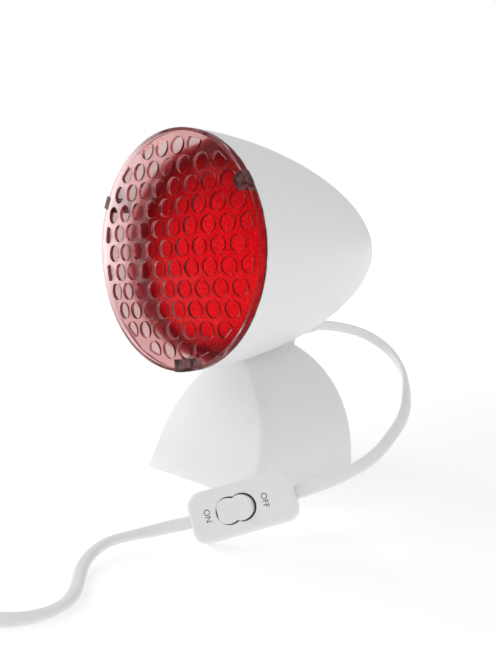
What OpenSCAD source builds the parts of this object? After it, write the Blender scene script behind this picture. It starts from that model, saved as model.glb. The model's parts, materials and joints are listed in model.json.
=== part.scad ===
// Infrared heat therapy lamp, millimetres.
// Origin: middle of the base's footprint, on the floor. The lamp looks along -Y, +Z is up.

/* [Head] */
// outside width of the head at its front edge
head_d = 144.6; // [130:0.2:160]
// length of the head shell from front edge to tail
head_len = 171; // [150:1:190]
// wall of the head shell
head_wall = 2.2; // [1.6:0.1:3]
// front edge centre, along Y
rim_y = -57; // [-70:0.5:-45]
// front edge centre, above the floor
rim_z = 146.3; // [135:0.1:160]
// how far the head looks up at rest, degrees
head_pitch = 3.6; // [0:0.1:15]

/* [Guard] */
// straight skirt of the guard
guard_skirt = 5.6; // [3:0.1:9]
// radius of the domed face
guard_dome_r = 322; // [200:1:500]
// wall of the guard
guard_wall = 2.2; // [1.5:0.1:3]
// distance between neighbouring holes
hole_pitch = 13.9; // [12:0.1:16]
// width of one hole
hole_d = 10.4; // [8:0.1:12]
// radius of the field the holes fill
hole_field_r = 66.2; // [55:0.1:67]
// turn of the hole rows, degrees
hole_turn = 6.5; // [-15:0.5:15]
// how far the hole pattern sits to the lamp's right
hole_right = 1.6; // [-3:0.1:3]
// how far the hole pattern sits above the middle
hole_up = 1.2; // [-3:0.1:3]

/* [Bulb] */
// width of the bulb's face
bulb_d = 122; // [95:1:122]
// front of the bulb's face behind the head's edge
bulb_set = 11.5; // [8:0.5:20]
// how far the face bulges
lens_rise = 8; // [4:0.5:12]
// lens thickness
lens_t = 3.5; // [2:0.5:5]
// glass of the bowl
glass_t = 2.4; // [1.5:0.1:3]
// overall length of the bulb
bulb_len = 135; // [125:1:140]

/* [Base] */
// width of the base
base_w = 103; // [90:1:120]
// depth of the base
base_d = 97.5; // [85:0.5:115]
// height the vault would reach if it were whole
vault_h = 88.5; // [80:0.5:100]
// where the top of the vault lies, behind the front edge
vault_top_y = -9; // [-15:0.5:5]
// wall of the base
base_wall = 2.4; // [1.8:0.1:3]
// radius of the upright corners
corner_r = 7; // [4:0.5:14]
// gap under the base's lower edge
lift = 1; // [0.5:0.1:3]

/* [Tilt] */
// tilt axle along Y
tilt_y = 25; // [15:0.5:35]
// tilt axle above the floor
tilt_z = 71; // [62:0.5:76]
// how far the head tilts up from rest, degrees
tilt_max = 25; // [10:1:30]
// axle width
axle_d = 5; // [4:0.5:6]
// thickness of the neck plate
neck_t = 11.7; // [9:0.1:14]
// clearance under the head
head_gap = 0.8; // [0.5:0.1:1.5]
// drop of the cable outlet, degrees
exit_drop = 6.4; // [0:0.1:15]

/* [Switch] */
// length of the switch
sw_l = 56; // [54:1:66]
// width of the switch
sw_w = 27; // [26:1:32]
// thickness of the switch
sw_t = 17; // [14:0.5:20]
// wall of the switch case
sw_wall = 1.8; // [1.4:0.1:2.4]
// heading of the switch on the floor, degrees
sw_turn = 45; // [0:1:60]
// rise of the switch towards the lamp side, degrees
sw_rise = 16.5; // [0:0.5:25]
// how far the switch leans back, degrees
sw_lean = 21; // [0:1:45]
// swing of the rocker to each side, degrees
rock = 8; // [4:0.5:12]

/* [Cord] */
// wide side of the flat flex
cord_w = 6.8; // [5:0.1:8]
// thin side of the flat flex
cord_t = 4; // [3:0.1:5]
// outer radius of the coil at mid cord
coil_r = 40; // [36:1:60]
// loops in each of the two layers
coil_loops = 2; // [1:1:6]

/* [Plug] */
// width of the flat plug
plug_w = 35.3; // [34:0.1:36]
// thickness of the flat plug
plug_t = 13.7; // [12:0.1:15]
// length of the plug body
plug_l = 34; // [28:1:40]
// distance between the pins
pin_gap = 19; // [18:0.1:19]
// pin width
pin_d = 4; // [3.8:0.1:4.2]
// pin length
pin_l = 19; // [18:0.5:19]

/* [Hidden] */
$fn = 96;

eps = 0.01;
fit_gap = 0.05;

// head shell outline: radius at distance s behind the front edge
head_r = head_d / 2;
shape_a = 1.71;
shape_b = 0.599;
function bell(s, r, l) = r * pow(1 - pow(min(max(s, 0) / l, 1), shape_a), shape_b);
function outer_r(s) = bell(s, head_r - 0.1, head_len);
in_r0 = head_r - 0.1 - head_wall;
in_len = head_len - head_wall;
function inner_r(s) = bell(s, in_r0, in_len);
bell_n = 32;
function bell_u(i) = 1 - pow(1 - i / bell_n, 1.7);
function bell_points(r, l) = [for (i = [0 : bell_n]) [bell(bell_u(i) * l, r, l), bell_u(i) * l]];

// guard
dome_in_r = head_r - guard_wall;
dome_rise = guard_dome_r - sqrt(pow(guard_dome_r, 2) - pow(head_r, 2));
dome_c = -guard_skirt - dome_rise + guard_dome_r;
spigot_r = in_r0 - 0.3;
spigot_l = 5;
spigot_t = 1.7;
hole_rows = 5;
row_pitch = hole_pitch * sqrt(3) / 2;

// clips: angle of each, counted from +X towards up, as in the photo
clip_angles = [for (k = [0 : 2]) 38 + 120 * k];
clip_w = 8;
clip_in = in_r0 - 5.5;
clip_out = in_r0 - 0.5;
clip_front = -6.5;
clip_back = 9;
clip_gap = 0.25;
screw_r = 1.5;
screw_head_r = 2.7;
screw_head_t = 1.8;

// bulb stations, all behind the head's front edge
bulb_r = bulb_d / 2;
lens_sphere_r = (pow(bulb_r, 2) + pow(lens_rise, 2)) / (2 * lens_rise);
lens_edge = bulb_set + lens_rise;
lens_back = lens_edge + 5;
neck_glass_r = 17;
glass_end = bulb_set + 105;
cap_front = glass_end;
cap_back = bulb_set + bulb_len - 6;
insul_back = bulb_set + bulb_len - 2;
tip_back = bulb_set + bulb_len;
thread_r = 13.2;
thread_deep = 0.8;
thread_pitch = 3.6;
bowl_out = [[bulb_r, lens_back], [bulb_r - 0.6, lens_back + 4], [56, 40], [49.5, 55], [41, 70],
  [31.5, 84], [23.5, 94], [18.6, 101], [neck_glass_r, 106], [neck_glass_r, glass_end]];
bowl_in = [for (i = [len(bowl_out) - 1 : -1 : 0]) [bowl_out[i][0] - glass_t, bowl_out[i][1]]];

// lampholder stations
holder_front = cap_front - 2;
holder_r = 20.5;
holder_bore = 17.6;
sleeve_r = 15;
sleeve_t = 0.6;
sleeve_front = cap_front + 4;
sleeve_back = cap_back;
floor_s = tip_back;
holder_mid = tip_back + 1.5;
holder_back = holder_mid + 6;
holder_tail_r = 14.5;
flange_s = 124;
flange_t = 2;
flange_r = 24.5;
plate_t = 1.6;
plate_s = flange_s + flange_t;
plate_r = 27;
plate_w = 16;
boss_x = 32;
boss_r = 3.8;
plate_l = 2 * (boss_x + 5);
holder_screw_y = 22.4;

// base outline, a quarter vault in each direction
half_w = base_w / 2;
front_y = -base_d / 2;
rear_y = base_d / 2;
front_run = vault_top_y - front_y;
rear_run = rear_y - vault_top_y;
function side_at(z, h, w) = w * pow(max(1 - pow(min(z / h, 1), 2.74), 0), 1.25);
function front_at(z, h, f) = f * pow(max(1 - pow(min(z / h, 1), 0.8), 0), 0.893);
function rear_at(z, h, r) = r * pow(max(1 - pow(min(z / h, 1), 6.83), 0), 0.483);
vault_n = 24;
function vault_u(i) = 0.985 * (1 - pow(1 - i / vault_n, 1.5));
arc_n = 6;
function ring_points(w, f, r, z, rc) = [for (q = [0 : 3]) for (k = [0 : arc_n])
  let (a = q * 90 + k * 90 / arc_n,
       cx = (q == 0 || q == 3 ? 1 : -1) * (w - rc),
       cy = q < 2 ? vault_top_y + r - rc : vault_top_y - f + rc)
  [cx + rc * cos(a), cy + rc * sin(a), z]];
function vault_ring(z, h, w, f, r, rc) =
  let (ws = side_at(z, h, w), fs = front_at(z, h, f), rs = rear_at(z, h, r))
  ring_points(ws, fs, rs, z, min(rc, ws * 0.95, (fs + rs) * 0.475));
ring_len = 4 * (arc_n + 1);

plate_z = lift + 0.2;
plate_h = 2.2;
plate_top = plate_z + plate_h;
pad_h = plate_z;
post_x = half_w - 8.5;
post_f = front_y + 10.25;
post_b = rear_y - 8.25;
post_r = 4;
ballast_h = 14;

// tilt
washer_x = neck_t / 2 + 0.1;
washer_t = 1.1;
cheek_x = washer_x + washer_t;
cheek_t = 2.6;
axle_r = axle_d / 2;
bolt_head_r = 4;
bolt_head_t = 2.2;
nut_t = 2.2;
neck_hub_r = 9;
// the flex turns with the head up to this place, measured along the axle
root_x = 14;

// cable outlet, a point on its axis in the head
exit_y = 70;
exit_z = 86.4;
outlet_front = -33;
outlet_end = -16;
outlet_r = 5.9;
boot_r = 4.6;
boot_end = -6;
bore_end = -8;
boot_tip_r = 4.1;
cord_in_start = -43;
clamp_at = -39.5;
clamp_x = 6.6;
clamp_r = 1.2;
clamp_bar_t = 3;

// switch placement
sw_half = sw_l / 2;
sw_hw = sw_w / 2;
sw_ht = sw_t / 2;
sw_corner = 7;
sw_round = 2.6;
sw_centre_x = 94.1;
sw_centre_y = -96.9;
// unit directions of the switch: along it, up its width, out of its face
end_u = [cos(sw_rise) * sin(sw_turn), cos(sw_rise) * cos(sw_turn), sin(sw_rise)];
flat_s = [cos(sw_turn), -sin(sw_turn), 0];
wide_b = cross(flat_s, end_u);
sw_up = cos(sw_lean) * wide_b - sin(sw_lean) * flat_s;
sw_out = cos(sw_lean) * flat_s + sin(sw_lean) * wide_b;
// height at which its lowest corner just clears the floor
sw_low = (sw_half - sw_corner) * end_u[2] + (sw_hw - sw_corner) * sw_up[2]
  + (sw_ht - sw_round) * sw_out[2] + (sw_corner - sw_round) * norm([end_u[2], sw_up[2]]) + sw_round;
sw_centre_z = sw_low + 0.2;
pin_x = 3;
rocker_y = -3.3;
lobe_r = 6.6;
lobe_y = 3.4;
open_r = 7.2;
open_y = 3.5;
waist_open = 6.5;
waist_lobe = 5.7;
sw_c = [sw_centre_x, sw_centre_y, sw_centre_z];
core_end = 20.5;

// free cord: hand-chosen points, round numbers, and which way its wide side stands there
lamp_points = [[3.2, 93.5, 82.2], [13.2, 107.2, 76.4], [27.6, 112.4, 67.4], [42.4, 108.2, 57.8],
  [55, 97.6, 50.8], [76.4, 69, 45], [96.2, 39, 46], [114.6, 7.8, 47.6], [128.3, -25.4, 44.6],
  [130.5, -43, 40.6], [126.8, -60, 35.9]];
lamp_wide = [[0, 0, 1], [0, 0, 1], [0, 0, 1], [-0.1, -0.1, 1], [-0.3, -0.2, 0.9],
  [-0.7, -0.4, 0.7], [-0.8, -0.4, 0.6], [-0.8, -0.3, 0.7], [-0.7, 0, 0.8], [-0.6, 0, 0.9],
  [-0.5, 0, 0.9]];
floor_points = [[66.8, -124.2, 9.9], [60.6, -132.3, 7.8], [55.9, -141.6, 6.8],
  [53.5, -152.6, 6.3], [54.9, -162.4, 5.3], [59.6, -172.6, 3.7], [66, -180.2, 2.8],
  [73.6, -187, 2.4], [82, -194.6, 2.3], [89, -204, 2.3], [91.5, -215.5, 2.3],
  [89, -227.5, 2.6], [81.5, -238, 3.4], [70, -246.5, 4.4], [54, -252.3, 4.9], [44, -254, 5]];
floor_wide = [[-0.6, 0.3, 0.8], [-0.7, 0.4, 0.5], [-0.9, 0.2, 0.2], [-1, 0, 0.1], [-1, -0.3, 0],
  [-0.8, -0.6, 0], [-0.7, -0.7, 0], [-0.7, -0.7, 0], [-0.7, -0.7, 0], [-0.9, -0.3, 0],
  [-1, 0, 0.1], [-0.9, 0.3, 0.4], [-0.5, 0.5, 0.7], [-0.2, 0.3, 0.9], [0, 0, 1], [0, 0, 1]];
coil_c = [30, -294];
coil_z = 5;
coil_start = [coil_c[0] + 8, coil_c[1] + coil_r, coil_z];
layer_step = cord_w + 0.8;
loop_step = cord_t + 0.8;
loop_n = 24;
tail_points = [[14, -254, 12.4], [0, -254, 10.4], [-12, -254, 8.2]];
plug_x = -24;
plug_y = -254;
plug_z = 7.05;
boot_l = 24;

// smooth curve through points
function curve_at(p0, p1, p2, p3, t) = 0.5 * ((2 * p1) + (p2 - p0) * t
  + (2 * p0 - 5 * p1 + 4 * p2 - p3) * t * t + (3 * p1 - p0 - 3 * p2 + p3) * t * t * t);
function padded(p) = concat([2 * p[0] - p[1]], p, [2 * p[len(p) - 1] - p[len(p) - 2]]);
function smooth(p, n) = let (q = padded(p), m = len(q))
  concat([for (i = [1 : m - 3]) for (k = [0 : n - 1])
    curve_at(q[i - 1], q[i], q[i + 1], q[i + 2], k / n)], [p[len(p) - 1]]);
function unit(v) = v / norm(v);
function tangent(p, i) = unit(p[min(i + 1, len(p) - 1)] - p[max(i - 1, 0)]);

// flat section: two round ends, twelve corners
end_angles = [-90, -54, -18, 18, 54, 90];
sec_r = cord_t / 2;
sec_c = cord_w / 2 - sec_r;
section = concat([for (a = end_angles) [sec_r * sin(a), sec_c + sec_r * cos(a)]],
  [for (a = end_angles) [-sec_r * sin(a), -sec_c - sec_r * cos(a)]]);

// sweep a section along points; wide gives the way its wide side stands, one or one per point
module sweep(path, sec, wide) {
  n = len(path);
  m = len(sec);
  pts = [for (i = [0 : n - 1])
    let (t = tangent(path, i), h = len(wide) == 1 ? wide[0] : wide[i],
         w = unit(h - (h * t) * t), v = cross(t, w))
    for (c = sec) path[i] + c[0] * v + c[1] * w];
  sides = [for (i = [0 : n - 2]) for (k = [0 : m - 1]) for (f = [0, 1])
    let (a = i * m + k, b = i * m + (k + 1) % m, c = b + m, d = a + m)
    f == 0 ? [a, b, c] : [a, c, d]];
  cap0 = [[for (k = [m - 1 : -1 : 0]) k]];
  cap1 = [[for (k = [0 : m - 1]) (n - 1) * m + k]];
  polyhedron(points = pts, faces = concat(sides, cap0, cap1), convexity = 8);
}

// ---------- placing ----------
module head_pose() {
  translate([0, rim_y, rim_z]) rotate([-(90 + head_pitch), 0, 0]) children();
}
module tilted(a) {
  translate([0, tilt_y, tilt_z]) rotate([-a, 0, 0]) translate([0, -tilt_y, -tilt_z]) children();
}
module exit_pose() {
  translate([0, exit_y, exit_z]) rotate([-(90 + exit_drop), 0, 0]) children();
}
module from_exit() {
  rotate([90 + exit_drop, 0, 0]) translate([0, -exit_y, -exit_z]) children();
}
module switch_pose() {
  translate(sw_c) rotate([0, 0, -sw_turn]) rotate([sw_rise, 0, 0]) rotate([0, -sw_lean, 0])
    children();
}
module pressed() {
  translate([pin_x, rocker_y, 0]) rotate([0, 0, -rock]) translate([-pin_x, 0, 0]) children();
}
module at_clips() {
  for (a = clip_angles) rotate([0, 0, -a]) children();
}
module along_x(r, x0, x1) {
  translate([x0, 0, 0]) rotate([0, 90, 0]) cylinder(r = r, h = x1 - x0);
}

// ---------- head ----------
module cavity(less) {
  rotate_extrude() polygon(concat([[0, 0]], bell_points(in_r0 - less, in_len - less)));
}
module bell_solid(grow) {
  rotate_extrude() polygon(concat([[0, 0]], bell_points(head_r - 0.1 + grow, head_len + grow)));
}
module swept_head() {
  head_pose() {
    bell_solid(head_gap);
    translate([0, 0, -guard_skirt]) cylinder(r = head_r + head_gap, h = guard_skirt + 1);
  }
}
module clip_block(grow) {
  translate([clip_in - grow, -clip_w / 2 - grow, clip_front - grow])
    cube([head_r + 2 - clip_in, clip_w + 2 * grow, clip_back - clip_front + 2 * grow]);
}
module head_shell() color([0.93, 0.93, 0.94]) {
  difference() {
    union() {
      head_pose() difference() {
        bell_solid(0);
        translate([0, 0, -eps]) cavity(0);
      }
      // moulded posts for the lampholder bracket
      head_pose() intersection() {
        bell_solid(-eps);
        for (x = [-boss_x, boss_x]) translate([x, 0, plate_s + plate_t]) cylinder(r = boss_r, h = 26);
      }
      // pads under the neck screws and posts under the cord clamp
      head_pose() intersection() {
        bell_solid(-eps);
        for (s = neck_screw_s)
          translate([0, inner_r(s) - neck_pad_t, s]) rotate([-90, 0, 0]) cylinder(r = 3.4, h = 4);
      }
      intersection() {
        head_pose() bell_solid(-eps);
        exit_pose() for (x = [-clamp_x, clamp_x])
          translate([x, -cord_w / 2, clamp_at]) rotate([-90, 0, 0]) cylinder(r = 2.4, h = 12);
      }
      // outlet for the flex
      exit_pose() translate([0, 0, outlet_front])
        cylinder(r = outlet_r, h = outlet_end - outlet_front);
    }
    exit_pose() translate([0, 0, outlet_front - 4])
      cylinder(r = boot_r, h = bore_end - outlet_front + 4);
    head_pose() for (x = [-boss_x, boss_x]) translate([x, 0, plate_s]) cylinder(r = screw_r, h = 10);
    head_pose() at_clips() along_x_at(screw_r, clip_out - 1, head_r - 1.3, 3);
    neck_screw_holes(screw_r);
    clamp_holes(cord_w / 2 - 0.2);
  }
}
module along_x_at(r, x0, x1, z) {
  translate([x0, 0, z]) rotate([0, 90, 0]) cylinder(r = r, h = x1 - x0);
}
neck_screw_s = [75, 84];
neck_pad_t = 1.2;
neck_screw_l = 9;
module neck_screw_holes(r) {
  head_pose() for (s = neck_screw_s)
    translate([0, inner_r(s) - 3, s]) rotate([-90, 0, 0]) cylinder(r = r, h = neck_screw_l + 3);
}
module hole_field() {
  translate([hole_right, -hole_up, 0]) intersection() {
    translate([0, 0, -30]) cylinder(r = hole_field_r, h = 40);
    rotate([0, 0, -hole_turn]) for (j = [-hole_rows : hole_rows]) {
      for (i = [-5 : 5]) {
        x = (i + (j % 2 == 0 ? 0 : 0.5)) * hole_pitch;
        y = j * row_pitch;
        if (norm([x, y]) < hole_field_r + 0.5)
          translate([x, y, -30]) cylinder(r = hole_d / 2, h = 40);
      }
    }
  }
}
module front_guard() color([0.95, 0.9, 0.9, 0.3]) head_pose() difference() {
  union() {
    difference() {
      intersection() {
        translate([0, 0, dome_c]) sphere(r = guard_dome_r);
        translate([0, 0, -40]) cylinder(r = head_r, h = 40);
      }
      intersection() {
        translate([0, 0, dome_c]) sphere(r = guard_dome_r - guard_wall);
        translate([0, 0, -40]) cylinder(r = spigot_r - spigot_t, h = 41);
      }
    }
    difference() {
      translate([0, 0, -eps]) cylinder(r = spigot_r, h = spigot_l);
      translate([0, 0, -1]) cylinder(r = spigot_r - spigot_t, h = spigot_l + 2);
    }
  }
  hole_field();
  at_clips() clip_block(clip_gap);
}
module guard_clips() color([0.12, 0.1, 0.1]) head_pose() at_clips() difference() {
  intersection() {
    clip_block(0);
    union() {
      translate([0, 0, clip_front]) cylinder(r = head_r, h = -clip_front - 0.1);
      translate([0, 0, clip_front]) cylinder(r = clip_out, h = clip_back - clip_front);
    }
  }
  along_x_at(screw_r, clip_in - 1, head_r, 3);
  along_x_at(screw_head_r, clip_in - 1, clip_in + screw_head_t - 0.6, 3);
}
module clip_screws() color([0.85, 0.85, 0.86]) head_pose() at_clips() {
  along_x_at(screw_r, clip_in + screw_head_t - 1, head_r - 1.3, 3);
  along_x_at(screw_head_r - 0.1, clip_in - 0.4, clip_in + screw_head_t - 0.6, 3);
}

// ---------- bulb ----------
module bulb_lens() color([0.75, 0.02, 0.05, 0.8]) head_pose() difference() {
  intersection() {
    translate([0, 0, bulb_set + lens_sphere_r]) sphere(r = lens_sphere_r);
    cylinder(r = bulb_r, h = lens_back);
  }
  intersection() {
    translate([0, 0, bulb_set + lens_sphere_r]) sphere(r = lens_sphere_r - lens_t);
    cylinder(r = bulb_r - glass_t, h = lens_back + 1);
  }
}
module bulb_bowl() color([0.8, 0.8, 0.82, 0.6]) head_pose()
  rotate_extrude() polygon(concat(bowl_out, bowl_in));
module bulb_screw_cap() color([0.8, 0.72, 0.5]) head_pose() rotate_extrude() {
  n = floor((cap_back - cap_front - 5) / thread_pitch);
  z0 = cap_front + 4;
  polygon(concat([[thread_r - 2.4, cap_front + 0.1], [neck_glass_r, cap_front + 0.1],
    [neck_glass_r, cap_front + 1], [thread_r, z0]],
    [for (i = [0 : n - 1]) for (k = [0, 1])
      [thread_r - thread_deep * (1 - k), z0 + (i + 0.5 + k * 0.5) * thread_pitch]],
    [[thread_r - 2.4, cap_back]]));
}
module cap_insulator() color([0.06, 0.06, 0.07]) head_pose() rotate_extrude()
  polygon([[0, cap_back], [thread_r - 2.5, cap_back], [5, insul_back], [0, insul_back]]);
module bulb_tip_contact() color([0.75, 0.75, 0.77]) head_pose()
  translate([0, 0, insul_back]) cylinder(r = 4.7, h = tip_back - insul_back);
post_gap = 9;
fil_s = 62;
fil_r = 0.9;
stem_s = 111;
module filament() color([0.5, 0.5, 0.52]) head_pose() translate([0, 0, fil_s])
  rotate_extrude(angle = 180) translate([post_gap, 0]) circle(r = fil_r, $fn = 24);
module filament_posts() color([0.7, 0.7, 0.72]) head_pose()
  for (x = [-post_gap, post_gap]) translate([x, 0, fil_s + fil_r])
    cylinder(r = 0.8, h = stem_s - fil_s - fil_r);
module bulb_stem() color([0.85, 0.87, 0.88, 0.6]) head_pose() {
  translate([0, 0, stem_s]) cylinder(r = neck_glass_r - glass_t, h = 2.2);
  translate([0, 0, stem_s]) cylinder(r = 6, h = cap_front - stem_s);
}

// ---------- lampholder ----------
module lampholder_body() color([0.93, 0.92, 0.88]) head_pose() difference() {
  union() {
    translate([0, 0, holder_front]) cylinder(r = holder_r, h = holder_mid - holder_front);
    translate([0, 0, flange_s]) cylinder(r = flange_r, h = flange_t);
    translate([0, 0, holder_mid])
      cylinder(r1 = holder_r, r2 = holder_tail_r, h = holder_back - holder_mid);
  }
  translate([0, 0, holder_front - 1]) cylinder(r = holder_bore, h = sleeve_front - holder_front + 1);
  translate([0, 0, sleeve_front - 1]) cylinder(r = sleeve_r, h = floor_s - sleeve_front + 1.6);
  for (y = [-holder_screw_y, holder_screw_y])
    translate([0, y, flange_s - 1]) cylinder(r = 1.2, h = 4);
  for (x = [-6, 6]) translate([x, 6.2, holder_mid + 1.5]) cylinder(r = lead_r + 0.3, h = 20);
}
module lampholder_sleeve() color([0.82, 0.68, 0.3]) head_pose() difference() {
  translate([0, 0, sleeve_front]) cylinder(r = sleeve_r, h = sleeve_back - sleeve_front);
  translate([0, 0, sleeve_front - 1]) cylinder(r = sleeve_r - sleeve_t, h = sleeve_back - sleeve_front + 2);
}
module lampholder_contact() color([0.82, 0.68, 0.3]) head_pose()
  translate([0, 0, floor_s]) cylinder(r = 5, h = 0.6);
module lampholder_bracket() color([0.75, 0.76, 0.78]) head_pose() difference() {
  translate([0, 0, plate_s]) union() {
    cylinder(r = plate_r, h = plate_t);
    translate([-plate_l / 2, -plate_w / 2, 0]) cube([plate_l, plate_w, plate_t]);
  }
  translate([0, 0, plate_s - 1]) cylinder(r = holder_r + 0.15, h = 4);
  for (y = [-holder_screw_y, holder_screw_y])
    translate([0, y, plate_s - 1]) cylinder(r = 1.2, h = 4);
  for (x = [-boss_x, boss_x]) translate([x, 0, plate_s - 1]) cylinder(r = screw_r, h = 4);
}
module lampholder_screws() color([0.7, 0.7, 0.72]) head_pose()
  for (y = [-holder_screw_y, holder_screw_y]) translate([0, y, flange_s - 1.4]) {
    cylinder(r = 1.9, h = 1.4);
    cylinder(r = 1.2, h = 1.4 + flange_t + plate_t + 0.8);
  }
module bracket_screws() color([0.7, 0.7, 0.72]) head_pose()
  for (x = [-boss_x, boss_x]) translate([x, 0, plate_s - 1.8]) {
    cylinder(r = screw_head_r, h = 1.8);
    cylinder(r = screw_r, h = 1.8 + plate_t + 8);
  }
// leads run from the holder's tail down to the clamp; head frame: +Y is down
lead_r = 1.1;
lead_sec = [for (a = [0 : 45 : 315]) [lead_r * sin(a), lead_r * cos(a)]];
lead_route = [[6, 6, 150], [6, 6.5, 155.5], [6, 10, 157.4], [6, 15, 156], [6, 20, 151.5],
  [5.8, 25, 144], [5.5, 30, 134], [5.2, 34, 122], [5, 35.6, 108], [4.6, 36.4, 97],
  [3.8, 38.6, 89], [2.6, 42.6, 83.5], [1.6, 47, 81.9], [1.3, 49.4, 84.6], [1.3, 49.7, 87.2]];
module lead(side) head_pose()
  sweep(smooth([for (p = lead_route) [side * p[0], p[1], p[2]]], 3), lead_sec, [[1, 0, 0]]);
module lead_live() color([0.45, 0.25, 0.12]) lead(1);
module lead_neutral() color([0.15, 0.3, 0.65]) lead(-1);
module flat_flex(h) linear_extrude(height = h) union() {
  translate([-cord_t / 2, -sec_c]) square([cord_t, 2 * sec_c]);
  for (y = [-sec_c, sec_c]) translate([0, y]) circle(r = sec_r);
}
// everything between two places along the axle
module between(x0, x1) {
  translate([x0, -200, 0]) cube([x1 - x0, 400, 200]);
}
module cord_inner_end() color([0.92, 0.92, 0.93]) intersection() {
  sweep(lamp_path, section, lamp_w);
  between(-20, root_x);
}
module cord_boot() color([0.9, 0.9, 0.91]) exit_pose() difference() {
  union() {
    intersection() {
      translate([0, 0, outlet_front - 2.4]) cylinder(r = outlet_r, h = 2.4);
      from_exit() head_pose() cavity(0.1);
    }
    translate([0, 0, outlet_front]) cylinder(r = boot_r, h = bore_end - outlet_front);
    difference() {
      translate([0, 0, outlet_end])
        cylinder(r1 = outlet_r, r2 = boot_tip_r, h = boot_end - outlet_end);
      from_exit() head_pose() bell_solid(0.1);
    }
  }
  translate([0, 0, -60]) flat_flex(80);
}
module clamp_holes(above) {
  exit_pose() for (x = [-clamp_x, clamp_x])
    translate([x, -above - clamp_bar_t - 1, clamp_at]) rotate([-90, 0, 0])
      cylinder(r = clamp_r, h = clamp_bar_t + 5);
}
module clamp_bar() color([0.88, 0.88, 0.86]) difference() {
  exit_pose() translate([-clamp_x - 2.4, -cord_w / 2 - clamp_bar_t, clamp_at - 2.5])
    cube([2 * clamp_x + 4.8, clamp_bar_t, 5]);
  clamp_holes(cord_w / 2);
}
module clamp_screws() color([0.7, 0.7, 0.72]) exit_pose() for (x = [-clamp_x, clamp_x])
  translate([x, -cord_w / 2 - clamp_bar_t - 1.6, clamp_at]) rotate([-90, 0, 0]) {
    cylinder(r = 2.2, h = 1.6);
    cylinder(r = clamp_r, h = clamp_bar_t + 5.2);
  }

// ---------- neck ----------
module tilt_neck() color([0.92, 0.92, 0.93]) difference() {
  rotate([90, 0, 90]) translate([0, 0, -neck_t / 2]) linear_extrude(height = neck_t) union() {
    translate([tilt_y, tilt_z]) circle(r = neck_hub_r);
    polygon([[tilt_y - neck_hub_r, tilt_z], [tilt_y + neck_hub_r, tilt_z], [38, 78], [41, 96],
      [6, 96], [7, 79.5], [10, 74]]);
  }
  head_pose() bell_solid(0);
  translate([-20, tilt_y, tilt_z]) rotate([0, 90, 0]) cylinder(r = axle_r + fit_gap, h = 40);
  neck_screw_holes(screw_r);
  exit_pose() translate([0, 0, outlet_front - 3]) cylinder(r = outlet_r + 0.1, h = 40);
}
module neck_screws() color([0.7, 0.7, 0.72]) head_pose() for (s = neck_screw_s)
  translate([0, inner_r(s) - neck_pad_t - screw_head_t, s]) rotate([-90, 0, 0]) {
    cylinder(r = screw_head_r, h = screw_head_t);
    cylinder(r = screw_r, h = neck_screw_l + screw_head_t);
  }

// ---------- base ----------
module vault(h, w, f, r, rc, z0) {
  pts = [for (i = [0 : vault_n]) each vault_ring(vault_u(i) * h, h, w, f, r, rc)];
  sides = [for (i = [0 : vault_n - 1]) for (k = [0 : ring_len - 1]) for (t = [0, 1])
    let (a = i * ring_len + k, b = i * ring_len + (k + 1) % ring_len, c = b + ring_len, d = a + ring_len)
    t == 0 ? [a, c, b] : [a, d, c]];
  low = [[for (k = [0 : ring_len - 1]) k]];
  high = [[for (k = [ring_len - 1 : -1 : 0]) vault_n * ring_len + k]];
  translate([0, 0, z0]) polyhedron(points = pts, faces = concat(sides, low, high), convexity = 4);
}
module outer_vault() vault(vault_h, half_w, front_run, rear_run, corner_r, lift);
module inner_vault() vault(vault_h - base_wall, half_w - base_wall, front_run - base_wall,
  rear_run - base_wall, corner_r - base_wall, lift - eps);
module slot_shape() {
  rotate([90, 0, 90]) translate([0, 0, -cheek_x]) linear_extrude(height = 2 * cheek_x)
    polygon([[-1, 100], [2, 82], [5, 77], [9, 70.5], [13.5, 63], [17, 60.5], [80, 60.5], [80, 100]]);
}
module base_shell() color([0.93, 0.93, 0.94]) difference() {
  union() {
    difference() {
      outer_vault();
      inner_vault();
    }
    intersection() {
      outer_vault();
      union() {
        for (x = [-post_x, post_x]) for (y = [post_f, post_b])
          translate([x, y, plate_top]) cylinder(r = post_r, h = 50);
        for (m = [0, 1]) mirror([m, 0, 0])
          translate([cheek_x, 4, 58]) cube([cheek_t, 40, 40]);
      }
    }
  }
  slot_shape();
  for (k = [0, 1, 2]) tilted(tilt_max * k / 2) swept_head();
  translate([-40, tilt_y, tilt_z]) rotate([0, 90, 0]) cylinder(r = axle_r, h = 80);
  for (x = [-post_x, post_x]) for (y = [post_f, post_b])
    translate([x, y, plate_top - 1]) cylinder(r = screw_r, h = 10);
  for (k = [0, 1, 2]) tilted(tilt_max * k / 2) outlet_room();
}
module outlet_room() {
  exit_pose() translate([0, 0, -44]) cylinder(r = outlet_r + 0.5, h = 60);
}
plate_f = vault_top_y - front_at(plate_top - lift, vault_h, front_run) + base_wall + 0.4;
plate_b = vault_top_y + rear_run - base_wall - 0.3;
plate_half = side_at(plate_top - lift, vault_h, half_w) - base_wall - 0.3;
module base_plate() color([0.86, 0.86, 0.87]) difference() {
  translate([0, 0, plate_z]) linear_extrude(height = plate_h)
    union() {
      translate([-plate_half, plate_f + 4.4]) square([2 * plate_half, plate_b - plate_f - 8.8]);
      translate([-plate_half + 4.4, plate_f]) square([2 * plate_half - 8.8, plate_b - plate_f]);
      for (x = [-plate_half + 4.4, plate_half - 4.4]) for (y = [plate_f + 4.4, plate_b - 4.4])
        translate([x, y]) circle(r = 4.4);
    }
  for (x = [-post_x, post_x]) for (y = [post_f, post_b]) {
    translate([x, y, 0]) cylinder(r = screw_r, h = 10);
    translate([x, y, 0]) cylinder(r = 3, h = plate_z + 1.3);
  }
  for (y = [-20, 22]) translate([0, y, 0]) cylinder(r = 1.8, h = 10);
}
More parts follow.
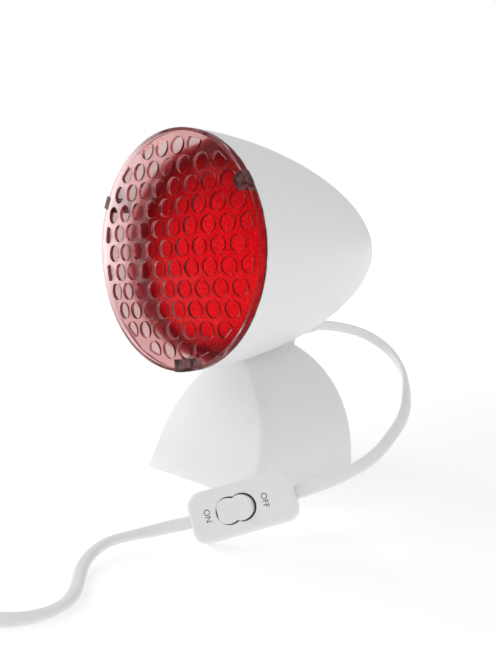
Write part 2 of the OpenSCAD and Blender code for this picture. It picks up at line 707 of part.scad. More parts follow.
module base_screws() color([0.7, 0.7, 0.72])
  for (x = [-post_x, post_x]) for (y = [post_f, post_b]) translate([x, y, plate_z]) {
    translate([0, 0, 0.1]) cylinder(r = 2.9, h = 1.2);
    translate([0, 0, 0.1]) cylinder(r = screw_r, h = 10);
  }
module ballast_block() color([0.3, 0.3, 0.32]) difference() {
  translate([-31, -28, plate_top]) cube([62, 60, ballast_h]);
  for (y = [-20, 22]) translate([0, y, plate_top - 1]) cylinder(r = 1.8, h = ballast_h + 2);
}
module ballast_screws() color([0.7, 0.7, 0.72]) for (y = [-20, 22])
  translate([0, y, 0]) {
    translate([0, 0, plate_z + 0.1]) cylinder(r = 1.8, h = plate_top + ballast_h - plate_z - 0.1);
    translate([0, 0, plate_top + ballast_h]) cylinder(r = 3.6, h = 2.2);
  }
module foot_pad() color([0.2, 0.2, 0.21]) translate([-35, -31, 0]) cube([70, 64, pad_h]);

// ---------- tilt hardware ----------
module tilt_axle() color([0.75, 0.75, 0.77]) translate([0, tilt_y, tilt_z]) {
  along_x(axle_r, -cheek_x - cheek_t - nut_t, cheek_x + cheek_t + 0.1);
  along_x(bolt_head_r, cheek_x + cheek_t, cheek_x + cheek_t + bolt_head_t);
}
module axle_nut() color([0.75, 0.75, 0.77]) translate([-cheek_x - cheek_t - nut_t, tilt_y, tilt_z])
  rotate([0, 90, 0]) difference() {
    cylinder(r = bolt_head_r, h = nut_t, $fn = 6);
    translate([0, 0, -1]) cylinder(r = axle_r, h = 5);
  }
module friction_washers() color([0.6, 0.5, 0.3]) translate([0, tilt_y, tilt_z])
  for (m = [0, 1]) mirror([m, 0, 0]) difference() {
    along_x(8, washer_x, washer_x + washer_t);
    along_x(axle_r, washer_x - 1, washer_x + washer_t + 1);
  }

// ---------- switch ----------
module case_corner(h, r, rr) {
  rotate([0, 90, 0]) rotate_extrude($fn = 32)
    polygon([[0, 0], [r, 0], [r, h - rr], [r - 0.3 * rr, h - 0.3 * rr], [r - rr, h], [0, h]]);
}
module half_case(h, l, w, r, rr) {
  hull() for (y = [-1, 1]) for (z = [-1, 1])
    translate([0, y * (l / 2 - r), z * (w / 2 - r)]) case_corner(h, r, rr);
}
module dog_bone(r, y, waist, x0, x1) {
  translate([x0, 0, 0]) rotate([90, 0, 90]) linear_extrude(height = x1 - x0) union() {
    for (s = [-y, y]) translate([s, 0]) circle(r = r);
    translate([-y, -waist]) square([2 * y, 2 * waist]);
  }
}
module cord_way(grow) {
  for (s = [-1, 1]) translate([0, s * (sw_half - 1.5), 0]) rotate([90, 0, 0])
    translate([0, 0, -3]) linear_extrude(height = 6) union() {
      translate([-cord_t / 2 - grow, -sec_c]) square([cord_t + 2 * grow, 2 * sec_c]);
      for (z = [-sec_c, sec_c]) translate([0, z]) circle(r = sec_r + grow);
    }
}
case_screw_y = 22.2;
case_screw_z = 8;
terminal_y = [-17, 16];
terminal_z = [3.2, 7.4];
terminal_w = 3.6;
module case_posts(x0, x1, r) {
  for (s = [-1, 1]) translate([0, s * case_screw_y, s * case_screw_z])
    translate([x0, 0, 0]) rotate([0, 90, 0]) cylinder(r = r, h = x1 - x0);
}
module switch_front_case() color([0.93, 0.93, 0.94]) switch_pose() difference() {
  union() {
    difference() {
      half_case(sw_ht, sw_l, sw_w, sw_corner, sw_round);
      translate([-1, 0, 0]) half_case(sw_ht - sw_wall + 1, sw_l - 2 * sw_wall, sw_w - 2 * sw_wall,
        sw_corner - sw_wall, 1);
    }
    case_posts(0.05, sw_ht - 1, 3);
    for (s = [-1, 1]) translate([0.3, rocker_y - 3, s * 8.3 - 1.1]) cube([sw_ht - 1.2, 6, 2.2]);
  }
  translate([0, rocker_y, 0]) dog_bone(open_r, open_y, waist_open, 0.2, sw_ht + 1);
  translate([pin_x, rocker_y, -12]) cylinder(r = 1.2, h = 24);
  case_posts(-1, 5, 1);
  cord_way(0.2);
}
module switch_back_case() color([0.93, 0.93, 0.94]) switch_pose() difference() {
  union() {
    difference() {
      mirror([1, 0, 0]) half_case(sw_ht - 0.05, sw_l, sw_w, sw_corner, sw_round);
      translate([1, 0, 0]) mirror([1, 0, 0]) half_case(sw_ht - sw_wall + 1, sw_l - 2 * sw_wall,
        sw_w - 2 * sw_wall, sw_corner - sw_wall, 1);
    }
    case_posts(-sw_ht + 1, 0, 3);
  }
  case_posts(-sw_ht - 1, 1, 1);
  case_posts(-sw_ht - 1, -sw_ht + 1.6, 2.1);
  cord_way(0.2);
}
rocker_side = [[1.5, -10], [5, -10], [9, -9.4], [9.9, -8.4], [10.2, -6.8], [9.6, -3.8],
  [8.8, -1]];
module switch_rocker() color([0.95, 0.95, 0.95]) switch_pose() pressed() difference() {
  intersection() {
    dog_bone(lobe_r, lobe_y, waist_lobe, 1.2, 12);
    translate([0, 0, -10]) linear_extrude(height = 20) polygon(concat(rocker_side,
      [for (i = [len(rocker_side) - 1 : -1 : 0]) [rocker_side[i][0], -rocker_side[i][1]]]));
  }
  translate([pin_x, 0, -12]) cylinder(r = 1.2 + fit_gap, h = 24);
}
module rocker_pin() color([0.7, 0.7, 0.72]) switch_pose()
  translate([pin_x, rocker_y, -9.4]) cylinder(r = 1.2, h = 18.8);
module switch_bridge() color([0.82, 0.68, 0.3]) switch_pose() pressed()
  translate([0.7, -8.6, -4.6]) cube([0.8, 4.4, 9.2]);
inner_x = -sw_ht + sw_wall;
contact_y = rocker_y - 8;
module switch_contacts() color([0.82, 0.68, 0.3]) switch_pose() {
  for (s = [-1, 1]) translate([inner_x, contact_y, s * 3.2 - 1.2]) cube([5.8, 2.4, 2.4]);
  translate([inner_x, terminal_y[0] - 2, -4.4]) cube([0.8, contact_y + 1 - terminal_y[0] + 2, 2.4]);
  translate([inner_x, contact_y + 1, 2]) cube([0.8, terminal_y[1] + 2 - contact_y - 1, 2.4]);
}
module neutral_link() color([0.82, 0.68, 0.3]) switch_pose()
  translate([inner_x, terminal_y[0] - 1, 6.2]) cube([0.8, terminal_y[1] - terminal_y[0] + 2, 2.4]);
module terminal_blocks() color([0.8, 0.66, 0.3]) switch_pose() difference() {
  for (y = terminal_y) for (z = terminal_z)
    translate([inner_x + 0.8, y - 2.5, (y < 0 && z < 5 ? -z : z) - terminal_w / 2])
      cube([7, 5, terminal_w]);
  terminal_holes(1, 4);
}
module terminal_holes(r, h) {
  for (y = terminal_y) for (z = terminal_z)
    translate([-2.8, y, y < 0 && z < 5 ? -z : z]) rotate([0, 90, 0]) cylinder(r = r, h = h);
}
module terminal_screws() color([0.75, 0.75, 0.77]) switch_pose() terminal_holes(1, 3.4);
module case_screws() color([0.7, 0.7, 0.72]) switch_pose()
  for (s = [-1, 1]) translate([-sw_ht, s * case_screw_y, s * case_screw_z]) rotate([0, 90, 0]) {
    translate([0, 0, 0.3]) cylinder(r = 2, h = 1.2);
    translate([0, 0, 0.3]) cylinder(r = 1, h = 12);
  }

// ---------- cord and plug ----------
exit_dir = [0, cos(exit_drop), -sin(exit_drop)];
exit_c = [0, exit_y, exit_z];
exit_up = [0, sin(exit_drop), cos(exit_drop)];
lamp_ctrl = concat([exit_c - 6 * exit_dir, exit_c + 6 * exit_dir], lamp_points,
  [sw_c + end_u * (sw_half + 6), sw_c + end_u * (sw_half - 1)]);
lamp_hint = concat([exit_up, exit_up], lamp_wide, [sw_up, sw_up]);
lamp_path = concat([exit_c + cord_in_start * exit_dir], smooth(lamp_ctrl, 4), [sw_c + end_u * core_end]);
lamp_w = concat([exit_up], smooth(lamp_hint, 4), [sw_up]);
module cord_lamp_side() color([0.93, 0.93, 0.94]) intersection() {
  sweep(lamp_path, section, lamp_w);
  between(root_x + 0.3, 200);
}
floor_ctrl = concat([sw_c - end_u * (sw_half - 1), sw_c - end_u * (sw_half + 5)], floor_points);
floor_hint = concat([sw_up, sw_up], floor_wide);
floor_path = concat([sw_c - end_u * core_end], smooth(floor_ctrl, 3), [coil_start]);
floor_w = concat([sw_up], smooth(floor_hint, 3), [[0, 0, 1]]);
module cord_plug_side() color([0.93, 0.93, 0.94]) sweep(floor_path, section, floor_w);
// coil: in over the lower layer, up, and out over the upper layer
coil_turns = 2 * coil_loops;
function coil_rad(t) = coil_r - loop_step * (t < coil_loops ? t : coil_turns - t);
function ease(x) = x <= 0 ? 0 : (x >= 1 ? 1 : x * x * (3 - 2 * x));
function coil_at(t) = [coil_c[0] + coil_rad(t) * cos(90 + 360 * t),
  coil_c[1] + coil_rad(t) * sin(90 + 360 * t),
  coil_z + layer_step * ease((t - coil_loops + 0.5) / 1)];
coil_points = [for (i = [0 : coil_turns * loop_n]) coil_at(i / loop_n)];
coil_path = concat([coil_start, coil_start - [4, 0, 0]], coil_points, [for (p = smooth(concat(
  [coil_points[coil_turns * loop_n]], tail_points, [[plug_x + 2, plug_y, plug_z]]), 3))
  if (p[0] < coil_c[0] - 0.1) p], [[plug_x - 3, plug_y, plug_z]]);
module cord_coil() color([0.93, 0.93, 0.94]) sweep(coil_path, section, [[0, 0, 1]]);
coil_gap = min([for (i = [0 : 4 : len(coil_points) - 20]) for (j = [i + 18 : len(coil_points) - 1])
  let (d = coil_points[i] - coil_points[j], h = norm([d[0], d[1]]), v = abs(d[2]))
  max(h - cord_t, v - cord_w)]);
echo(coil_gap = coil_gap);
tie_in = coil_r - coil_loops * loop_step - cord_t / 2 - 1;
tie_out = coil_r + cord_t / 2 + 0.5;
module coil_tie() color([0.25, 0.25, 0.27]) translate([coil_c[0], coil_c[1], 0]) difference() {
  translate([-4, -tie_out - 1, 0.3]) cube([8, tie_out - tie_in + 2, coil_z + layer_step + cord_w / 2 + 1]);
  translate([-5, -tie_out, coil_z - cord_w / 2 - 0.4])
    cube([10, tie_out - tie_in, layer_step + cord_w + 0.8]);
}
module plug_axis() translate([plug_x, plug_y, plug_z]) rotate([0, -90, 0]) children();
module plug_boot() color([0.92, 0.92, 0.93]) plug_axis() difference() {
  cylinder(r1 = 4.2, r2 = 6, h = boot_l);
  translate([0, 0, -1]) rotate([0, 0, 90]) flat_flex(boot_l + 2);
}
module plug_outline(r) {
  for (y = [-1, 1]) for (x = [-1, 1])
    translate([x * (plug_t / 2 - r), y * (plug_w / 2 - r), 0]) children();
}
module plug_body() color([0.93, 0.93, 0.94]) plug_axis() difference() {
  hull() {
    translate([0, 0, boot_l]) cylinder(r = 6.2, h = 1, $fn = 32);
    translate([0, 0, boot_l + 14]) plug_outline(5) cylinder(r = 5, h = plug_l - 14, $fn = 32);
  }
  for (y = [-pin_gap / 2, pin_gap / 2]) translate([0, y, boot_l + plug_l - 8])
    cylinder(r = pin_d / 2 - 0.4, h = 9);
}
module plug_pins() color([0.8, 0.78, 0.7]) plug_axis() for (y = [-pin_gap / 2, pin_gap / 2])
  translate([0, y, boot_l + plug_l - 8]) {
    cylinder(r = pin_d / 2 - 0.4, h = 18);
    translate([0, 0, 18]) cylinder(r = pin_d / 2, h = pin_l - 11);
    translate([0, 0, 18 + pin_l - 11]) cylinder(r1 = pin_d / 2, r2 = pin_d / 2 - 0.8, h = 1);
  }
module pin_sleeves() color([0.15, 0.15, 0.16]) plug_axis() for (y = [-pin_gap / 2, pin_gap / 2])
  translate([0, y, boot_l + plug_l]) difference() {
    cylinder(r = pin_d / 2 - 0.05, h = 10);
    translate([0, 0, -1]) cylinder(r = pin_d / 2 - 0.4, h = 12);
  }

head_shell();
front_guard();
guard_clips();
clip_screws();
bulb_lens();
bulb_bowl();
bulb_screw_cap();
cap_insulator();
bulb_tip_contact();
filament();
filament_posts();
bulb_stem();
lampholder_body();
lampholder_sleeve();
lampholder_contact();
lampholder_bracket();
lampholder_screws();
bracket_screws();
lead_live();
lead_neutral();
cord_inner_end();
cord_boot();
clamp_bar();
clamp_screws();
tilt_neck();
neck_screws();
base_shell();
base_plate();
base_screws();
ballast_block();
ballast_screws();
foot_pad();
tilt_axle();
axle_nut();
friction_washers();
switch_front_case();
switch_back_case();
switch_rocker();
rocker_pin();
switch_bridge();
switch_contacts();
neutral_link();
terminal_blocks();
terminal_screws();
case_screws();
cord_lamp_side();
cord_plug_side();
cord_coil();
coil_tie();
plug_boot();
plug_body();
plug_pins();
pin_sleeves();
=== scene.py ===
# %% [markdown]
# # An infrared heat lamp, dressed in Blender
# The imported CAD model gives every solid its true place. This notebook keeps those solids where
# they already look right, and builds smoother pieces over the ones that the eye rests on: the
# bell-shaped head, the pierced clear guard, the rounded base, the rocker switch and the flat flex.

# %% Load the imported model
import json
import math

import bmesh
import bpy
from mathutils import Matrix, Vector


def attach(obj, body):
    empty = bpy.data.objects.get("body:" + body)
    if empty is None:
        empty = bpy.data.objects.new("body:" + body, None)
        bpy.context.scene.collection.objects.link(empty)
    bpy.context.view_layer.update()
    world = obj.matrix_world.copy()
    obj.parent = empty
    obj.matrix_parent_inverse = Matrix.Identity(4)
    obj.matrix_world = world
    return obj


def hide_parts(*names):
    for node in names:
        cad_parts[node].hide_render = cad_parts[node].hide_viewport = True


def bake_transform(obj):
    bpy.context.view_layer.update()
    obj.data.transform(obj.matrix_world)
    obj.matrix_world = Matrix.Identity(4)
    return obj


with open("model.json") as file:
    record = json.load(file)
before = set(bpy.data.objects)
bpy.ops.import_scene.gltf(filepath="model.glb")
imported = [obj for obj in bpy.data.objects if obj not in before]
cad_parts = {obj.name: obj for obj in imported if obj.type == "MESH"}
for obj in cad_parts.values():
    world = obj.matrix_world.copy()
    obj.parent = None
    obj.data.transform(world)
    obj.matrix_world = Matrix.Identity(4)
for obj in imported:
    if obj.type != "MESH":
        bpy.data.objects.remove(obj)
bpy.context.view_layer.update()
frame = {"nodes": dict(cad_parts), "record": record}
nodes = frame["nodes"]
scene = bpy.context.scene

# %% [markdown]
# ## The camera
# A product photograph is a perspective view. The camera stands in front and to the right of the
# lamp, a little above it, and its lens comes from how strongly the straight edges converge.
# It could be dragged into place by eye, but numbers that were fitted to edges give the same
# frame on every run.

# %% Camera at the photograph's angle
CAMERA_AT = Vector((0.43104, -0.42839, 0.19451))
CAMERA_AIM = Vector((-0.00652, 0.00603, 0.08864))
camera = bpy.data.objects.new("camera", bpy.data.cameras.new("camera"))
scene.collection.objects.link(camera)
camera.location = CAMERA_AT
camera.rotation_mode = "QUATERNION"
camera.rotation_quaternion = (CAMERA_AIM - CAMERA_AT).to_track_quat("-Z", "Y")
camera.data.sensor_width = 36
camera.data.lens = 51.5
scene.camera = camera
print("camera is", round((CAMERA_AIM - CAMERA_AT).length, 3), "m from the lamp")

# %% [markdown]
# ## Placing
# The head, the cable outlet and the switch each have a frame of their own in the CAD source.
# The same turns are written here once as matrices, so a piece can be modelled in its own
# upright frame and then carried to its place in one step.

# %% Frames of the head, the outlet and the switch
RIM = Vector((0, -0.057, 0.1463))
HEAD_PITCH = math.radians(3.6)
TILT_AXIS = Vector((0, 0.025, 0.071))
EXIT = Vector((0, 0.070, 0.0864))
EXIT_DROP = math.radians(6.4)
SWITCH_AT = Vector((0.0941, -0.0969, 0.020742))
SWITCH_TURN, SWITCH_RISE, SWITCH_LEAN = (math.radians(a) for a in (45, 16.5, 21))


def turned(angle, axis):
    return Matrix.Rotation(angle, 4, axis)


head_place = Matrix.Translation(RIM) @ turned(-math.pi / 2 - HEAD_PITCH, "X")
exit_place = Matrix.Translation(EXIT) @ turned(-math.pi / 2 - EXIT_DROP, "X")
switch_place = (Matrix.Translation(SWITCH_AT) @ turned(-SWITCH_TURN, "Z")
                @ turned(SWITCH_RISE, "X") @ turned(-SWITCH_LEAN, "Y"))
along_switch = switch_place.to_3x3() @ Vector((0, 1, 0))
up_switch = switch_place.to_3x3() @ Vector((0, 0, 1))
print("switch points along", [round(v, 3) for v in along_switch])

# %% [markdown]
# ## Small helpers for meshes
# Every new piece is drawn in a bmesh, which is Blender's scratch mesh. `as_piece` turns it into
# an object that stays at the origin. `soften` shades faces smoothly but keeps real corners
# crisp, and `carve` cuts, joins or keeps what two closed shapes share.

# %% Turning a bmesh into a piece
WELD = 1e-6


def soften(bm, corner=35):
    for face in bm.faces:
        face.smooth = True
    for edge in bm.edges:
        if len(edge.link_faces) == 2:
            edge.smooth = edge.calc_face_angle(0) < math.radians(corner)


def as_piece(bm, name, place=None, corner=35, outward=True):
    if place is not None:
        bmesh.ops.transform(bm, matrix=place, verts=bm.verts)
    if outward:
        bmesh.ops.recalc_face_normals(bm, faces=bm.faces)
    soften(bm, corner)
    mesh = bpy.data.meshes.new(name)
    bm.to_mesh(mesh)
    bm.free()
    piece = bpy.data.objects.new(name, mesh)
    scene.collection.objects.link(piece)
    return piece


def carve(piece, tool, operation="DIFFERENCE", corner=35):
    change = piece.modifiers.new("carve", "BOOLEAN")
    change.object, change.operation, change.solver = tool, operation, "EXACT"
    finished = piece.evaluated_get(bpy.context.evaluated_depsgraph_get())
    bm = bmesh.new()
    bm.from_mesh(finished.to_mesh())
    finished.to_mesh_clear()
    piece.modifiers.clear()
    bmesh.ops.remove_doubles(bm, verts=bm.verts, dist=WELD)
    bmesh.ops.dissolve_degenerate(bm, edges=bm.edges, dist=WELD)
    soften(bm, corner)
    bm.to_mesh(piece.data)
    bm.free()
    bpy.data.objects.remove(tool)


# %% Solids that are spun, drawn as rods and boxes, or pulled from a face
def add_disc_stack(bm, profile, steps=96):
    """Spin a line of (radius, height) points round the upright axis."""
    line = [bm.verts.new((r, 0, z)) for r, z in profile]
    edges = [bm.edges.new(pair) for pair in zip(line, line[1:])]
    bmesh.ops.spin(bm, geom=line + edges, cent=(0, 0, 0), axis=(0, 0, 1),
                   angle=2 * math.pi, steps=steps, use_merge=True)
    bmesh.ops.remove_doubles(bm, verts=bm.verts, dist=WELD)


def add_rod(bm, radius, low, high, at=(0, 0), place=Matrix(), sides=32):
    middle = Matrix.Translation((at[0], at[1], (low + high) / 2))
    bmesh.ops.create_cone(bm, cap_ends=True, segments=sides, radius1=radius, radius2=radius,
                          depth=high - low, matrix=place @ middle)


def add_box(bm, low, high, place=Matrix()):
    size = [b - a for a, b in zip(low, high)]
    middle = [(a + b) / 2 for a, b in zip(low, high)]
    shape = Matrix.Translation(middle) @ Matrix.Diagonal((*size, 1))
    bmesh.ops.create_cube(bm, size=1, matrix=place @ shape)


def verts_of(made):
    return [g for g in made["geom"] if isinstance(g, bmesh.types.BMVert)]


def edges_of(made):
    return [g for g in made["geom"] if isinstance(g, bmesh.types.BMEdge)]


def pull_face(bm, ring, way):
    """Fill a ring of vertices and pull the face along `way` into a solid."""
    made = bmesh.ops.extrude_face_region(bm, geom=[bm.faces.new(ring)])
    bmesh.ops.translate(bm, vec=way, verts=verts_of(made))


def bevel(bm, edges, offset, segments):
    bmesh.ops.bevel(bm, geom=edges, offset=offset, segments=segments, profile=0.5,
                    affect="EDGES", material=-1)


def round_edges(piece, width, segments=2, angle=40):
    rounding = piece.modifiers.new("rounded edges", "BEVEL")
    rounding.width, rounding.segments = width, segments
    rounding.limit_method, rounding.angle_limit = "ANGLE", math.radians(angle)
    rounding.harden_normals = True


# %% [markdown]
# ## The flat flex
# A flat two-core flex is a ribbon of PVC, 6.8 mm wide and 4 mm thick with round edges. A curve
# with a bevel would do for a round cord, but a flat one has to say which way its wide side
# stands at each point. So the section is laid down ring by ring along a smooth curve through
# listed points, and each ring is turned by a hint. The points repeat the CAD's, in metres.
#
# The picture shows the flex leaving under the head, swinging round through the air to the
# switch, and coming out of it onto the table. It is cut off at the left, so the rest, with a
# typical two-pin plug, is wound into a small coil just outside the view.

# %% Curve and ribbon
FLEX_WIDE, FLEX_THIN = 0.0068, 0.004


def smooth_path(points, steps):
    points = [Vector(p) for p in points]
    ends = [2 * points[0] - points[1], *points, 2 * points[-1] - points[-2]]
    path = []
    for a, b, c, d in zip(ends, ends[1:], ends[2:], ends[3:]):
        for k in range(steps):
            t = k / steps
            path.append(0.5 * (2 * b + (c - a) * t + (2 * a - 5 * b + 4 * c - d) * t * t
                               + (3 * b - a - 3 * c + d) * t ** 3))
    return path + [points[-1]]


def ribbon_section(sides=28, squareness=2.5):
    """A flattened oval: fuller than an ellipse, softer than two half rounds and two flats."""
    def swell(value):
        return math.copysign(abs(value) ** (2 / squareness), value)
    turns = [2 * math.pi * k / sides for k in range(sides)]
    return [(FLEX_THIN / 2 * swell(math.sin(a)), FLEX_WIDE / 2 * swell(math.cos(a)))
            for a in turns]


def ribbon(name, path, hints):
    bm = bmesh.new()
    section = ribbon_section()
    rings = []
    for i, point in enumerate(path):
        way = (path[min(i + 1, len(path) - 1)] - path[max(i - 1, 0)]).normalized()
        wide = (hints[i] - hints[i].dot(way) * way).normalized()
        thin = way.cross(wide)
        rings.append([bm.verts.new(point + x * thin + y * wide) for x, y in section])
    for ring, following in zip(rings, rings[1:]):
        for k in range(len(section)):
            m = (k + 1) % len(section)
            bm.faces.new((ring[k], ring[m], following[m], following[k]))
    bm.faces.new(reversed(rings[0]))
    bm.faces.new(rings[-1])
    return as_piece(bm, name, corner=60)


def path_length(path):
    return sum((b - a).length for a, b in zip(path, path[1:]))


# %% Flex from the head to the switch
SWITCH_HALF = 0.028
CORE_END = 0.0205
INNER_START, INNER_STEP, INNER_COUNT, LAMP_STEPS = -0.043, 0.0074, 5, 8
exit_way = exit_place.to_3x3() @ Vector((0, 0, 1))
exit_up = exit_place.to_3x3() @ Vector((0, -1, 0))
lamp_points = [(0.0032, 0.0935, 0.0822), (0.0132, 0.1072, 0.0764), (0.0276, 0.1124, 0.0674),
               (0.0424, 0.1082, 0.0578), (0.055, 0.0976, 0.0508), (0.0764, 0.069, 0.045),
               (0.0962, 0.039, 0.046), (0.1146, 0.0078, 0.0476), (0.1283, -0.0254, 0.0446),
               (0.1305, -0.043, 0.0406), (0.1268, -0.06, 0.0359)]
lamp_wide = [(0, 0, 1), (0, 0, 1), (0, 0, 1), (-0.1, -0.1, 1), (-0.3, -0.2, 0.9),
             (-0.7, -0.4, 0.7), (-0.8, -0.4, 0.6), (-0.8, -0.3, 0.7), (-0.7, 0, 0.8),
             (-0.6, 0, 0.9), (-0.5, 0, 0.9)]
lamp_points = [EXIT - 0.006 * exit_way, EXIT + 0.006 * exit_way, *lamp_points,
               SWITCH_AT + along_switch * (SWITCH_HALF + 0.006),
               SWITCH_AT + along_switch * (SWITCH_HALF - 0.001)]
lamp_wide = [exit_up, exit_up, *lamp_wide, up_switch, up_switch]
inside_head = [EXIT + exit_way * (INNER_START + INNER_STEP * k) for k in range(INNER_COUNT)]
lamp_path = (inside_head + smooth_path(lamp_points, LAMP_STEPS)
             + [SWITCH_AT + along_switch * CORE_END])
lamp_hints = [exit_up] * INNER_COUNT + smooth_path(lamp_wide, LAMP_STEPS) + [up_switch]
lamp_flex = ribbon("flex_lamp_side", lamp_path, lamp_hints)
print("lamp side is", round(path_length(lamp_path), 4), "m long")

# %% Flex from the switch to the coil, the coil and the plug's end
floor_points = [(0.0668, -0.1242, 0.0099), (0.0606, -0.1323, 0.0078), (0.0559, -0.1416, 0.0068),
                (0.0535, -0.1526, 0.0063), (0.0549, -0.1624, 0.0053), (0.0596, -0.1726, 0.0037),
                (0.066, -0.1802, 0.0028), (0.0736, -0.187, 0.0024), (0.082, -0.1946, 0.0023),
                (0.089, -0.204, 0.0023), (0.0915, -0.2155, 0.0023), (0.089, -0.2275, 0.0026),
                (0.0815, -0.238, 0.0034), (0.07, -0.2465, 0.0044), (0.054, -0.2523, 0.0049),
                (0.044, -0.254, 0.005)]
floor_wide = [(-0.6, 0.3, 0.8), (-0.7, 0.4, 0.5), (-0.9, 0.2, 0.2), (-1, 0, 0.1), (-1, -0.3, 0),
              (-0.8, -0.6, 0), (-0.7, -0.7, 0), (-0.7, -0.7, 0), (-0.7, -0.7, 0), (-0.9, -0.3, 0),
              (-1, 0, 0.1), (-0.9, 0.3, 0.4), (-0.5, 0.5, 0.7), (-0.2, 0.3, 0.9), (0, 0, 1),
              (0, 0, 1)]
COIL_AT, COIL_RADIUS, COIL_Z = Vector((0.030, -0.294, 0)), 0.040, 0.005
LAYER_STEP, LOOP_STEP, COIL_LOOPS, LOOP_STEPS = 0.0076, 0.0048, 2, 36
FLOOR_STEPS, TAIL_STEPS = 6, 4
PLUG_AT = Vector((-0.024, -0.254, 0.00705))


def coil_point(turn):
    layer_turn = turn if turn < COIL_LOOPS else 2 * COIL_LOOPS - turn
    radius = COIL_RADIUS - LOOP_STEP * layer_turn
    rise = min(max(turn - COIL_LOOPS + 0.5, 0), 1)
    angle = math.radians(90 + 360 * turn)
    height = COIL_Z + LAYER_STEP * rise * rise * (3 - 2 * rise)
    return COIL_AT + Vector((radius * math.cos(angle), radius * math.sin(angle), height))


floor_points = [SWITCH_AT - along_switch * (SWITCH_HALF - 0.001),
                SWITCH_AT - along_switch * (SWITCH_HALF + 0.005), *floor_points]
floor_wide = [up_switch, up_switch, *floor_wide]
coil_turns = 2 * COIL_LOOPS
coil_start = COIL_AT + Vector((0.008, COIL_RADIUS, COIL_Z))
coil_path = [coil_point(k / LOOP_STEPS) for k in range(coil_turns * LOOP_STEPS + 1)]
tail = smooth_path([coil_path[-1], (0.014, -0.254, 0.0124), (0, -0.254, 0.0104),
                    (-0.012, -0.254, 0.0082), PLUG_AT + Vector((0.002, 0, 0))], TAIL_STEPS)[1:]
floor_path = ([SWITCH_AT - along_switch * CORE_END] + smooth_path(floor_points, FLOOR_STEPS)
              + [coil_start, coil_start - Vector((0.004, 0, 0))])
floor_hints = [up_switch] + smooth_path(floor_wide, FLOOR_STEPS)
plug_path = floor_path + coil_path + tail + [PLUG_AT - Vector((0.003, 0, 0))]
plug_hints = floor_hints + [Vector((0, 0, 1))] * (len(plug_path) - len(floor_hints))
plug_flex = ribbon("flex_plug_side", plug_path, plug_hints)
print("plug side is", round(path_length(plug_path), 4), "m long")

# %% [markdown]
# ## Finishes
# Real moulded plastic is never one flat colour: it has a faint mottle from flow in the mould, a
# roughness that wanders, and a fine skin texture. One helper sets up that family with noise on
# Object coordinates, so nothing needs unwrapping. Metals, glass and rubber use the same helper
# with other values. Values that are the same all over sit on the shader's own sockets.


# %% Helpers for shader nodes
def add_node(tree, kind, **values):
    """Add a node. Its inputs and properties are named with _ where the name has a space."""
    added = tree.nodes.new(kind)
    for key, value in values.items():
        socket = added.inputs.get(key.replace("_", " "))
        if socket is None:
            setattr(added, key, value)
        else:
            socket.default_value = value
    return added


def object_place(tree):
    return tree.nodes["Texture Coordinate"].outputs["Object"]


def factor_along(tree, where, way, start, end, **span):
    """Measure `where` along `way`, and map start to end onto 0 to 1 or what `span` says."""
    far = add_node(tree, "ShaderNodeVectorMath", operation="DOT_PRODUCT")
    far.inputs[1].default_value = way
    tree.links.new(where, far.inputs[0])
    mapped = add_node(tree, "ShaderNodeMapRange", From_Min=start, From_Max=end, **span)
    tree.links.new(far.outputs["Value"], mapped.inputs["Value"])
    return mapped.outputs["Result"]


def factor_in_ball(tree, centre, radius, low, high, dark):
    """A factor that is 1 inside a ball and falls to `dark` at its skin."""
    place = add_node(tree, "ShaderNodeMapping", vector_type="TEXTURE", Location=centre,
                     Scale=(radius, radius, radius))
    tree.links.new(object_place(tree), place.inputs["Vector"])
    fall = add_node(tree, "ShaderNodeTexGradient", gradient_type="SPHERICAL")
    tree.links.new(place.outputs["Vector"], fall.inputs["Vector"])
    span = add_node(tree, "ShaderNodeMapRange", interpolation_type="SMOOTHSTEP",
                    From_Min=low, From_Max=high, To_Min=dark)
    tree.links.new(fall.outputs["Fac"], span.inputs["Value"])
    return span.outputs["Result"]


def product(tree, first, second):
    times = add_node(tree, "ShaderNodeMath", operation="MULTIPLY")
    tree.links.new(first, times.inputs[0])
    tree.links.new(second, times.inputs[1])
    return times.outputs["Value"]


# %% A helper for every finish
def finish(name, colour, rough, mottle=0.04, grain=900, depth=0.02, bump=0.25, cells=False,
           wander=0.06, **sockets):
    """`grain` sets how fine the skin is, `depth` its height in mm, `sockets` the shader's own."""
    made = bpy.data.materials.new(name)
    made.use_nodes = True
    tree = made.node_tree
    shader = tree.nodes["Principled BSDF"]
    link = tree.links.new
    where = add_node(tree, "ShaderNodeTexCoord").outputs["Object"]
    cloud = add_node(tree, "ShaderNodeTexNoise", Scale=45.0, Detail=3.0)
    link(where, cloud.inputs["Vector"])
    tint = add_node(tree, "ShaderNodeValToRGB")
    low = [c * (1 - mottle) for c in colour]
    high = [min(c * (1 + mottle), 1) for c in colour]
    tint.color_ramp.elements[0].position, tint.color_ramp.elements[1].position = 0.3, 0.7
    tint.color_ramp.elements[0].color = (*low, 1)
    tint.color_ramp.elements[1].color = (*high, 1)
    link(cloud.outputs["Fac"], tint.inputs["Fac"])
    link(tint.outputs["Color"], shader.inputs["Base Color"])
    gloss = add_node(tree, "ShaderNodeMapRange", To_Min=max(rough - wander, 0.02),
                     To_Max=min(rough + wander, 1))
    link(cloud.outputs["Fac"], gloss.inputs["Value"])
    link(gloss.outputs["Result"], shader.inputs["Roughness"])
    if cells:
        skin = add_node(tree, "ShaderNodeTexVoronoi", Scale=float(grain))
        height = skin.outputs["Distance"]
    else:
        skin = add_node(tree, "ShaderNodeTexNoise", Scale=float(grain), Detail=2.0)
        height = skin.outputs["Fac"]
    link(where, skin.inputs["Vector"])
    relief = add_node(tree, "ShaderNodeBump", Strength=bump, Distance=depth * 0.001)
    link(height, relief.inputs["Height"])
    link(relief.outputs["Normal"], shader.inputs["Normal"])
    for key, value in sockets.items():
        shader.inputs[key.replace("_", " ")].default_value = value
    return made


